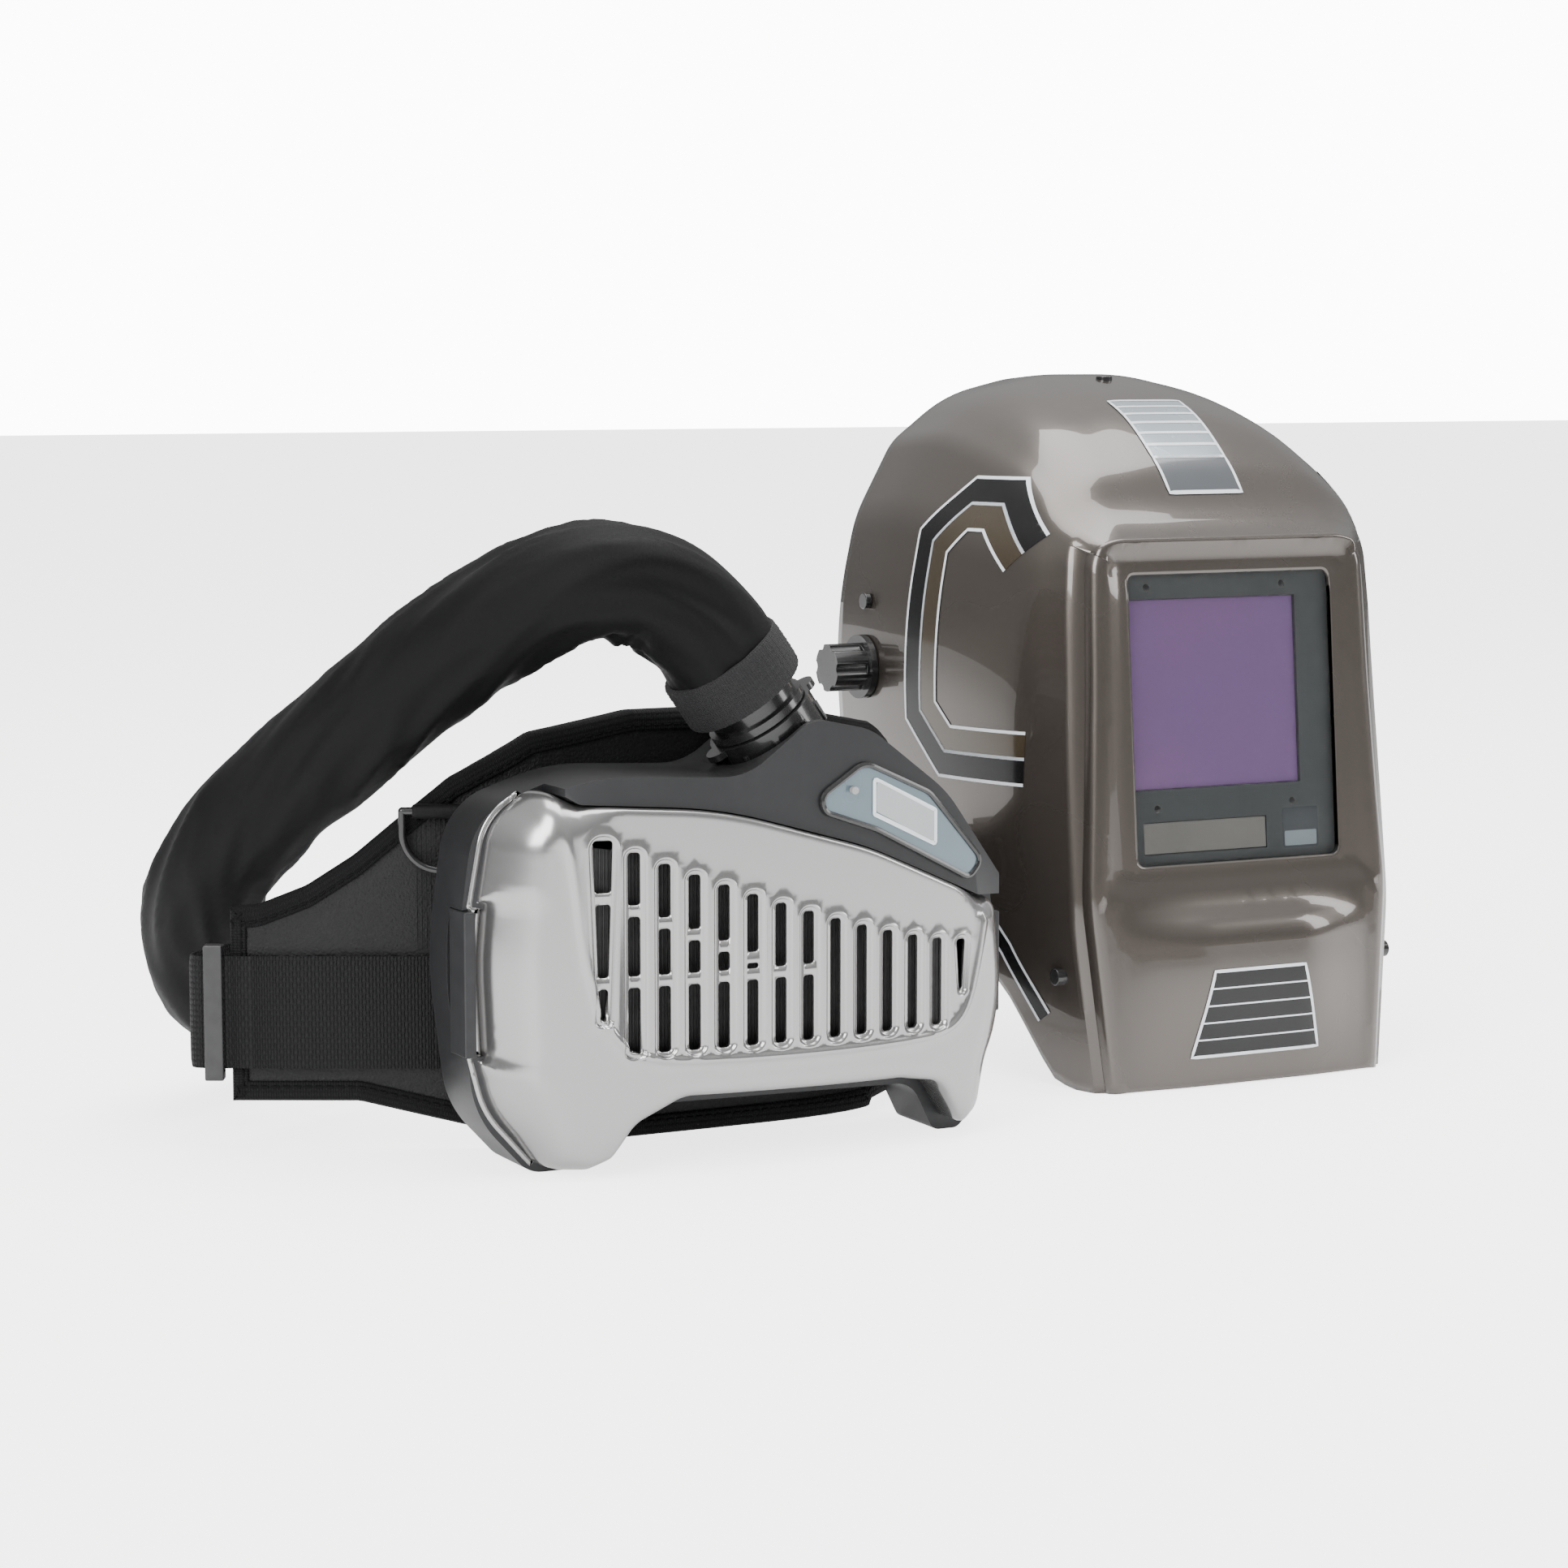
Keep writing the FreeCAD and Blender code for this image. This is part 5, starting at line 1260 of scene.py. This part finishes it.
@dataclass
class HelmetGraphics:
    """Plain printed bands and stripes, the same on both sides of the shell."""

    middle: float = 293.0
    stripe: float = 1.5
    lift_fill: float = 0.3
    lift_line: float = 0.45
    frame_front: float = 105.0
    frame_rear: float = 185.0
    frame_top: float = 280.0
    frame_foot: float = 140.0
    frame_cut: float = 25.0
    frame_band: float = 12.0
    rim_front: float = 100.0
    rim_rear: float = 220.0
    rim_gap: float = 20.0
    rim_band: float = 8.0
    rim_step: float = 20.0
    chin_top: float = 55.0
    chin_foot: float = 15.0
    chin_half: float = 25.0
    chin_flare: float = 10.0
    chin_lines: int = 4
    crest_half: float = 20.0
    crest_front: float = 120.0
    crest_back: float = 160.0
    crest_block: float = 15.0
    crest_bars: int = 5

    def frame_path(self) -> tuple[Point2, ...]:
        """Chamfered frame on the side, open to the front."""
        front, rear, cut = self.frame_front, self.frame_rear, self.frame_cut
        top, foot = self.frame_top, self.frame_foot
        return ((front, top - cut), (front + cut, top), (rear - cut, top),
                (rear, top - cut), (rear, foot + cut), (rear - cut, foot), (front, foot))

    def banded(self, facing: Facing, finish: str, path: Sequence[Point2], low: float,
               high: float) -> list[Print]:
        """A filled band between two parallels of a path, with a white line on each edge."""
        one, two = mitred(path, low), mitred(path, high)
        return [Print(facing, finish, one + two[::-1]),
                Print(facing, "print_white", one, self.stripe),
                Print(facing, "print_white", two, self.stripe)]

    def outlined(self, facing: Facing, finish: str, half_one: float, one: float,
                 half_two: float, two: float) -> list[Print]:
        """A filled shape across the middle, between two levels, with a white outline."""
        points = ((-half_one, one), (-half_two, two), (half_two, two), (half_one, one))
        return [Print(facing, finish, points),
                Print(facing, "print_white", points, self.stripe, True)]

    def prints(self, rim: Sequence[Point2]) -> list[Print]:
        """Everything on one half; the other half mirrors it."""
        path, band = self.frame_path(), self.frame_band
        across, heights = [p[0] for p in rim], [p[1] for p in rim]
        hem = [(float(y), float(np.interp(y, across, heights)) + self.rim_gap)
               for y in np.arange(self.rim_front, self.rim_rear, self.rim_step)]
        return (self.banded(Facing.SIDE, "print_black", path, 0.0, band)
                + self.banded(Facing.SIDE, "print_bronze", path, band, 2 * band)
                + self.banded(Facing.SIDE, "print_black", hem, 0.0, -self.rim_band))

    def middle_prints(self) -> list[Print]:
        """What crosses the middle: the crest's block and bars, and the chin's louvre."""
        half, front, back = self.crest_half, self.crest_front, self.crest_back
        rows = self.outlined(Facing.TOP, "print_slate", half, front - self.crest_block,
                             half, front)
        rows += self.outlined(Facing.TOP, "print_blue_grey", half, front, half, back)
        for k in range(1, self.crest_bars + 1):
            y = front + (back - front) * k / (self.crest_bars + 1)
            rows.append(Print(Facing.TOP, "print_white", ((-half, y), (half, y)), self.stripe))
        rows += self.outlined(Facing.FRONT, "print_black", self.chin_half, self.chin_top,
                              self.chin_half + self.chin_flare, self.chin_foot)
        for k in range(1, self.chin_lines + 1):
            t = k / (self.chin_lines + 1)
            reach = self.chin_half + self.chin_flare * t
            level = self.chin_top + (self.chin_foot - self.chin_top) * t
            rows.append(Print(Facing.FRONT, "print_white", ((-reach, level), (reach, level)),
                              self.stripe / 2))
        return rows

    def lay(self, row: Print, mirror: float, skin: BVHTree,
            shop: Workshop) -> tuple[list[Vector | None], list[tuple[int, ...]]]:
        """Drop one printed shape on the shell.

        Args:
            row: the shape.
            mirror: 1 for the left half, -1 for the right.
            skin: the shell's outer surface.
            shop: gives the frame's place.

        Returns:
            Points in metres in the frame, and faces.
        """
        if row.width:
            line = resampled(row.points, 2.5, row.closed)
            spots = beside(line, row.width / 2, row.closed)
            spots += beside(line, -row.width / 2, row.closed)
            n = len(line)
            last = n if row.closed else n - 1
            faces = [(k, (k + 1) % n, n + (k + 1) % n, n + k) for k in range(last)]
            lift = self.lift_line
        else:
            spots, faces = relief(resampled(row.points, 4.0, True), [], [], 3.0)
            lift = self.lift_fill
        out: list[Vector | None] = []
        for a, b in spots:
            a, b = float(a), float(b)
            if row.facing is Facing.SIDE:
                start, way = (self.middle - mirror * 400, a, b), Vector((mirror, 0, 0))
            elif row.facing is Facing.FRONT:
                start, way = (self.middle + mirror * a, -400, b), Vector((0, 1, 0))
            else:
                start, way = (self.middle + mirror * a, b, 700), Vector((0, 0, -1))
            place, normal, _, _ = skin.ray_cast(shop.at(*start), way)
            if place is None:
                out.append(None)
            else:
                normal = normal if normal.dot(way) < 0 else -normal
                out.append(place + normal * lift * MM)
        return out, [f for f in faces if all(out[k] is not None for k in f)]

    def build(self, shop: Workshop, skin: BVHTree, rim: Sequence[Point2]) -> None:
        """Make one piece for each printed colour."""
        heaps: dict[str, tuple[list, list]] = {}
        rows = [(row, m) for row in self.prints(rim) for m in (1.0, -1.0)]
        rows += [(row, 1.0) for row in self.middle_prints()]
        for row, mirror in rows:
            spots, faces = self.lay(row, mirror, skin, shop)
            verts, held = heaps.setdefault(row.finish, ([], []))
            number = {}
            for face in faces:
                for k in face:
                    if k not in number:
                        number[k] = len(verts)
                        verts.append((spots[k] - shop.shift) / MM)
                held.append(tuple(number[k] for k in face))
        for finish, (verts, faces) in heaps.items():
            shop.piece(finish.replace("print", "printed"), verts, faces, finish, "visor",
                       outward=False, sharp=60.0)


# ------------------------------------------------------------------ blower details
@dataclass
class BlowerDetails:
    """Rounded casing, the panel's rim and the display's white frame."""

    panel: tuple[tuple[float, float, float], ...] = (
        (29, 150, 6), (58, 168, 10), (92, 153, 14), (122, 121, 8), (114, 113, 5),
        (64, 138, 30))
    display: tuple[tuple[float, float, float], ...] = (
        (63, 160, 0.6), (95, 144.6, 0.6), (95, 130, 0.6), (63, 145, 0.6))
    rim_radius: float = 1.3

    def drop(self, tree: BVHTree, shop: Workshop, spots: Sequence[Sequence[float]],
             lift: float) -> list[Point3]:
        """Points in the front plane laid on a surface seen from the front."""
        out = []
        for x, z in spots:
            place = tree.ray_cast(shop.at(x, -100, z), Vector((0, 1, 0)))[0]
            spot = (place - shop.shift) / MM if place is not None else Vector((x, 6, z))
            out.append((x, spot.y - lift, z))
        return out

    def build(self, shop: Workshop) -> None:
        """Make the rim and frame, and round the casing's edges."""
        panel = BVHTree.FromObject(shop.frame["nodes"]["control_panel"],
                                   bpy.context.evaluated_depsgraph_get())
        line = resampled(rounded(self.panel, 1.2), 2.0, True)
        inner = beside(line, 0.6, True)
        if not inside(np.array([inner[0]]), line)[0]:
            inner = beside(line, -0.6, True)
        middle = self.drop(panel, shop, inner, 0.0)
        n = len(middle)
        verts, faces = [], []
        for k in range(n):
            before, after = Vector(middle[k - 1]), Vector(middle[(k + 1) % n])
            along = (after - before).normalized()
            side = along.cross(Vector((0, 1, 0))).normalized()
            for j in range(8):
                angle = 2 * math.pi * j / 8
                spot = Vector(middle[k]) + (side * math.cos(angle) + along.cross(side)
                                            * math.sin(angle)) * self.rim_radius
                verts.append(tuple(spot))
                faces.append((k * 8 + j, k * 8 + (j + 1) % 8, (k + 1) % n * 8 + (j + 1) % 8,
                              (k + 1) % n * 8 + j))
        shop.piece("panel_rim", verts, faces, "black_gloss_plastic", "carrier")
        loop = resampled(rounded(self.display, 1.0), 2.0, True)
        wide = self.drop(panel, shop, beside(loop, 0.9, True), 0.35)
        tight = self.drop(panel, shop, beside(loop, -0.9, True), 0.35)
        n = len(wide)
        frame = [(k, (k + 1) % n, n + (k + 1) % n, n + k) for k in range(n)]
        shop.piece("display_frame", wide + tight, frame, "print_white", "carrier",
                   outward=False)
        for node, width, body in (
                ("rear_housing", 1.3, "carrier"), ("cover_latch_left", 0.7, "left_latch"),
                ("cover_latch_right", 0.7, "right_latch"), ("power_button", 0.6, "power_button"),
                ("belt_bracket", 0.8, "carrier"), ("outlet_collar", 0.5, "outlet_collar"),
                ("battery_pack", 1.0, "battery"), ("inlet_swivel", 0.5, "inlet_swivel"),
                ("strap_sliders", 0.7, "carrier"), ("buckle_male", 0.8, "carrier"),
                ("buckle_female", 0.9, "carrier")):
            shop.eased(node, width, body)


# ------------------------------------------------------------------ waist belt
@dataclass
class WaistBelt:
    """Padded belt with its taped edge, webbing and ring loops."""

    thick: float = 10.0
    tape: float = 9.0
    path: tuple[Point2, ...] = (
        (-178, 133), (-128, 107), (-82, 84), (-48, 76), (12, 75), (74, 76),
        (108, 88), (130, 116), (139, 156), (137, 198))
    split_x: float = 100.0
    left_top: tuple[Point2, ...] = (
        (-190, 104), (-168, 106), (-150, 114), (-132, 127), (-116, 142), (-96, 160),
        (-64, 179), (-20, 187), (50, 187), (100, 176))
    left_low: tuple[Point2, ...] = ((-190, 22), (-130, 22), (-84, 10), (-60, 2), (100, 2))
    right_top: tuple[Point2, ...] = (
        (60, 182), (84, 178), (100, 160), (128, 130), (160, 110), (210, 100))
    right_low: tuple[Point2, ...] = ((60, 2), (110, 8), (160, 20), (210, 22))
    web_low: float = 37.0
    web_high: float = 85.0
    web_gap: float = 2.9

    def line(self) -> list[np.ndarray]:
        """Evenly divided plan line of the pad's middle."""
        return resampled(softened(self.path, 2), 2.5)

    def heights(self, spot: Sequence[float]) -> tuple[float, float]:
        """Lower and upper edge of the pad at a point of its plan line."""
        x, y = float(spot[0]), float(spot[1])
        low, top, at = ((self.left_low, self.left_top, x) if x < self.split_x
                        else (self.right_low, self.right_top, y))
        return (float(np.interp(at, [p[0] for p in low], [p[1] for p in low])),
                float(np.interp(at, [p[0] for p in top], [p[1] for p in top])))

    def pad(self, shop: Workshop) -> None:
        """Crowned foam pad whose sides pull in to the taped edge."""
        line = self.line()
        n = len(line)
        rows = 48
        normals = [a - b for a, b in zip(beside(line, 1.0), line)]
        verts: list[Point3] = []
        uv: list[Point2] = []
        for k in range(n):
            low, top = self.heights(line[k])
            from_end = min(k, n - 1 - k) * 2.5
            end = math.sqrt(max(0.0, 1 - max(0.0, 1 - from_end / 9.0) ** 2))
            for j in range(rows):
                turn = 2 * math.pi * j / rows
                c, q = math.cos(turn), math.sin(turn)
                up = math.copysign(abs(q) ** 0.22, q)
                out = math.copysign(abs(c) ** 0.45, c)
                z = (low + top) / 2 + up * ((top - low) / 2 - 1.2)
                edge = min(z - low, top - z)
                channel = 0.9 * math.exp(-((edge - 13.0) / 2.2) ** 2) if edge < 40 else 0.0
                soft = noise.noise(Vector((line[k][0] / 34, z / 30, float(c > 0)))) * 0.5
                depth = out * (self.thick / 2 * (0.62 + 0.38 * end) + soft - channel) * (
                    0.35 + 0.65 * end)
                spot = line[k] + normals[k] * depth
                verts.append((float(spot[0]), float(spot[1]), z))
                uv.append((k * 2.5 * MM, z * MM))
        faces = [(k * rows + j, k * rows + (j + 1) % rows, (k + 1) * rows + (j + 1) % rows,
                  (k + 1) * rows + j) for k in range(n - 1) for j in range(rows)]
        faces += [tuple(range(rows)), tuple(range((n - 1) * rows, n * rows))[::-1]]
        pad = shop.piece("belt_foam_pad", verts, faces, "pad_leatherette", "carrier",
                         replaces=("belt_pad",), sharp=70.0, uv=uv)

    def edge(self) -> list[tuple[float, float]]:
        """Round the pad's outline as (distance along, height)."""
        line = self.line()
        tops = [(2.5 * k, self.heights(p)[1]) for k, p in enumerate(line)]
        lows = [(2.5 * k, self.heights(p)[0]) for k, p in enumerate(line)]
        return [tuple(p) for p in resampled(tops + lows[::-1], 2.5, True)]

    def place(self, line: list[np.ndarray], normals: list[np.ndarray], s: float,
              depth: float) -> np.ndarray:
        """Plan point at a distance along the pad and a depth out of its middle."""
        at = min(max(s / 2.5, 0.0), len(line) - 1.001)
        k = int(at)
        t = at - k
        base = line[k] * (1 - t) + line[k + 1] * t
        return base + (normals[k] * (1 - t) + normals[k + 1] * t) * depth

    def binding(self, shop: Workshop) -> None:
        """Woven tape folded over the pad's edge, with a dashed row of stitches."""
        line = self.line()
        normals = [a - b for a, b in zip(beside(line, 1.0), line)]
        loop = self.edge()
        inward = [b - a for a, b in zip([np.array(p) for p in loop], beside(loop, 1.0, True))]
        half = self.thick / 2 + 0.9
        section = ((self.tape, half - 0.7), (self.tape - 0.5, half), (4.0, half + 0.25),
                   (1.4, half - 0.3), (0.2, half - 2.4), (0.2, -half + 2.4),
                   (1.4, -half + 0.3), (4.0, -half - 0.25), (self.tape - 0.5, -half),
                   (self.tape, -half + 0.7))
        verts, uv, faces = [], [], []
        n, m = len(loop), len(section)
        for k, ((s, z), step) in enumerate(zip(loop, inward)):
            for j, (reach, depth) in enumerate(section):
                spot = self.place(line, normals, s + float(step[0]) * reach, depth)
                verts.append((float(spot[0]), float(spot[1]), z + float(step[1]) * reach))
                uv.append((k * 2.5 * MM, (reach + j) * MM))
            for j in range(m):
                faces.append((k * m + j, k * m + (j + 1) % m, (k + 1) % n * m + (j + 1) % m,
                              (k + 1) % n * m + j))
        shop.piece("belt_edge_tape", verts, faces, "woven_tape", "carrier",
                   replaces=("belt_binding",), sharp=50.0, uv=uv)
        rows = []
        for depth in (half + 0.35, -half - 0.35):
            seam = []
            for (s, z), step in zip(loop, inward):
                spot = self.place(line, normals, s + float(step[0]) * 6.6, depth)
                seam.append((float(spot[0]), float(spot[1]), z + float(step[1]) * 6.6))
            rows.append(seam)
        stitched(shop, "tape_stitches", rows, 4.6, 3.0, 0.42, "woven_tape")

    def webbing(self, shop: Workshop) -> None:
        """Both waist straps as woven bands that follow the pad to the buckle."""
        face = beside(softened(self.path, 2), self.thick / 2 + self.web_gap)
        left = [p for p in face if p[0] < -92][::-1]
        left += [np.array(p, float) for p in (
            (-192.2, 131.5), (-195, 136.5), (-192, 143), (-182, 151), (-166, 160),
            (-130, 181), (-92, 200), (-52, 214))]
        right = [p for p in face if p[0] > 0 and p[1] > 116]
        right += [np.array(p, float) for p in (
            (142, 214), (134, 228), (112, 238), (84, 241), (58, 238))]
        verts, uv, faces = [], [], []
        for plan in (left, right):
            run = resampled(softened(plan, 2), 2.0)
            out = [a - b for a, b in zip(beside(run, 1.0), run)]
            base = len(verts)
            ring = [(t, 1.0) for t in np.linspace(0, 1, 17)]
            ring += [(t, -1.0) for t in np.linspace(1, 0, 17)]
            m = len(ring)
            for k, spot in enumerate(run):
                for t, sign in ring:
                    pinch = 1.0 - 0.5 * (abs(2 * t - 1) ** 12)
                    p = spot + out[k] * sign * pinch
                    z = self.web_low + t * (self.web_high - self.web_low)
                    verts.append((float(p[0]), float(p[1]), float(z)))
                    uv.append((k * 2.0 * MM, float(z) * MM))
            for k in range(len(run) - 1):
                for j in range(m):
                    a, b = base + k * m + j, base + k * m + (j + 1) % m
                    faces.append((a, b, b + m, a + m))
            faces.append(tuple(range(base, base + m)))
            faces.append(tuple(range(base + (len(run) - 1) * m, base + len(run) * m))[::-1])
        shop.piece("waist_webbing", verts, faces, "webbing", "carrier",
                   replaces=("belt_webbing",), sharp=50.0, uv=uv)

    def build(self, shop: Workshop) -> None:
        """Make the whole belt."""
        self.pad(shop)
        self.binding(shop)
        self.webbing(shop)
        shop.cushioned("d_ring_loops", 0.9, "carrier")


def stitched(shop: Workshop, name: str, rows: Sequence[Sequence[Point3]], pitch: float,
             length: float, radius: float, finish: str, body: str = "carrier") -> None:
    """Dashed rows of thread, repeated along lines by a node tree.

    Args:
        shop: the workshop.
        name: the piece's name.
        rows: closed lines in layout millimetres.
        pitch: distance from stitch to stitch.
        length: length of one stitch.
        radius: radius of the thread.
        finish: name of its finish.
        body: body that it rides on.
    """
    verts, edges = [], []
    for row in rows:
        base = len(verts)
        verts += [shop.at(*p) for p in row]
        edges += [(base + k, base + (k + 1) % len(row)) for k in range(len(row))]
    mesh = bpy.data.meshes.new(name)
    mesh.from_pydata(verts, edges, [])
    line = bpy.data.objects.new(name, mesh)
    bpy.context.scene.collection.objects.link(line)
    tree = bpy.data.node_groups.new("stitch_row", "GeometryNodeTree")
    tree.interface.new_socket("Geometry", in_out="INPUT", socket_type="NodeSocketGeometry")
    sizes = {"Pitch": pitch * MM, "Length": length * MM, "Radius": radius * MM}
    keys = {label: tree.interface.new_socket(label, in_out="INPUT",
                                             socket_type="NodeSocketFloat").identifier
            for label in sizes}
    tree.interface.new_socket("Geometry", in_out="OUTPUT", socket_type="NodeSocketGeometry")
    given, out = tree.nodes.new("NodeGroupInput"), tree.nodes.new("NodeGroupOutput")
    curve = put(tree, "GeometryNodeMeshToCurve", {"Mesh": given.outputs["Geometry"]})
    spaced = put(tree, "GeometryNodeCurveToPoints", {"Curve": curve.outputs[0],
                 "Length": given.outputs["Pitch"]}, mode="LENGTH")
    thread = put(tree, "GeometryNodeMeshCylinder", {"Vertices": 6,
                 "Radius": given.outputs["Radius"], "Depth": given.outputs["Length"]})
    turned = put(tree, "FunctionNodeAlignRotationToVector",
                 {"Vector": spaced.outputs["Tangent"]}, axis="Z")
    laid = put(tree, "GeometryNodeInstanceOnPoints", {"Points": spaced.outputs["Points"],
               "Instance": thread.outputs[0], "Rotation": turned.outputs[0]})
    real = put(tree, "GeometryNodeRealizeInstances", {0: laid.outputs[0]})
    dressed = put(tree, "GeometryNodeSetMaterial", {"Geometry": real.outputs[0],
                  "Material": shop.finishes[finish]})
    tree.links.new(dressed.outputs[0], out.inputs[0])
    nodes = line.modifiers.new("stitches", "NODES")
    nodes.node_group = tree
    for label, value in sizes.items():
        nodes[keys[label]] = value
    done = finished_mesh(line)
    bpy.data.objects.remove(line)
    done.name = name
    done.materials.clear()
    shop.adopt(done, finish, body, sharp=40.0, outward=False)


# ------------------------------------------------------------------ headgear and lens
@dataclass
class HeadgearDetails:
    """Rounded headgear parts, the padded brow, the cloth seal and the lens frame's trim."""

    middle: float = 293.0
    window_y: float = 76.0
    window_z: float = 170.0
    lean: float = 5.0
    seal: tuple[Point2, ...] = (
        (-98, 196), (-94, 140), (-80, 106), (-50, 99), (50, 99), (80, 106), (94, 140),
        (98, 196))
    screws: tuple[Point2, ...] = ((-44, 61.5), (31, 61.5), (-42, -41), (33, -41))

    def on_window(self, x: float, y: float, z: float) -> Point3:
        """A point given in the window's own leaning plane."""
        c, s = math.cos(math.radians(self.lean)), math.sin(math.radians(self.lean))
        return (self.middle + x, self.window_y + y * c + z * s, self.window_z + z * c - y * s)

    def seal_sheet(self, shop: Workshop) -> None:
        """Thin cloth skirt with soft waves, under the chin."""
        plan = resampled(softened([(self.middle + x, y) for x, y in self.seal], 2), 2.5)
        out = [a - b for a, b in zip(beside(plan, 1.0), plan)]
        verts, uv, faces = [], [], []
        rows = 10
        for k, spot in enumerate(plan):
            for j in range(rows):
                wave = 0.5 * math.sin(k * 0.55) * (j / (rows - 1))
                p = spot + out[k] * wave
                verts.append((float(p[0]), float(p[1]), 97.0 + 26.0 * j / (rows - 1)))
                uv.append((k * 2.5 * MM, j * 2.9 * MM))
        for k in range(len(plan) - 1):
            for j in range(rows - 1):
                a = k * rows + j
                faces.append((a, a + 1, a + 1 + rows, a + rows))
        seal = shop.piece("chin_seal_cloth", verts, faces, "seal_cloth", "visor",
                          replaces=("face_seal",), uv=uv)
        solid = seal.modifiers.new("cloth", "SOLIDIFY")
        solid.thickness = 1.2 * MM
        solid.offset = 0.0

    def trim(self, shop: Workshop) -> None:
        """Frame screws and a blank badge plate on the filter's frame."""
        verts, faces = [], []
        rings = ((1.9, 0.0), (1.7, -0.5), (1.2, -0.9), (0.6, -1.0), (0.5, -0.6))
        for x, z in self.screws:
            base = len(verts)
            for radius, lift in rings:
                for j in range(20):
                    angle = 2 * math.pi * j / 20
                    verts.append(self.on_window(x + radius * math.cos(angle), 6.3 + lift * 0.3,
                                                z + radius * math.sin(angle)))
            for r in range(len(rings) - 1):
                for j in range(20):
                    a, b = base + r * 20 + j, base + r * 20 + (j + 1) % 20
                    faces.append((a, b, b + 20, a + 20))
            faces.append(tuple(range(base + 80, base + 100)))
        shop.piece("frame_screws", verts, faces, "black_gloss_plastic", "visor", sharp=40.0,
                   outward=False)
        plate = rounded([(27, -63, 1), (27, -44, 1), (47, -44, 1), (47, -63, 1)], 0.8)
        inner = rounded([(28, -62, 0.6), (28, -55, 0.6), (46, -55, 0.6), (46, -62, 0.6)], 0.6)
        for name, loop, depth, finish in (("badge_plate", plate, 6.05, "print_slate"),
                                          ("badge_bar", inner, 5.98, "print_blue_grey")):
            points, tris = relief([tuple(p) for p in resampled(loop, 2.0, True)], [], [], 3.0)
            shop.piece(name, [self.on_window(x, depth, z) for x, z in points], tris, finish,
                       "visor", outward=False)

    def build(self, shop: Workshop) -> None:
        """Make every detail."""
        self.seal_sheet(shop)
        self.trim(shop)
        shop.cushioned("brow_pad", 1.3, "carrier")
        for node, width, body in (
                ("tension_knob_left", 0.8, "tension_left"),
                ("tension_knob_right", 0.8, "tension_right"),
                ("ratchet_knob", 0.6, "ratchet"), ("ratchet_housing", 0.8, "rear_band"),
                ("headband_rear", 0.4, "rear_band"), ("headband_front", 0.4, "carrier"),
                ("crown_straps", 0.4, "carrier"), ("pivot_brackets", 0.5, "carrier"),
                ("shell_studs", 0.9, "visor"), ("air_duct", 0.8, "carrier")):
            shop.eased(node, width, body)


def main() -> None:
    """Build every sub-assembly in order."""
    logging.basicConfig(level=logging.INFO, format="%(name)s: %(message)s")
    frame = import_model()
    shop = Workshop(frame)
    shop.dress_nodes()
    Studio().build(shop)
    BreathingHose().build(shop)
    BlowerCover().build(shop)
    shell = HelmetShell()
    HelmetGraphics().build(shop, shell.build(shop), shell.rim)
    BlowerDetails().build(shop)
    WaistBelt().build(shop)
    HeadgearDetails().build(shop)


if __name__ == "__main__":
    main()
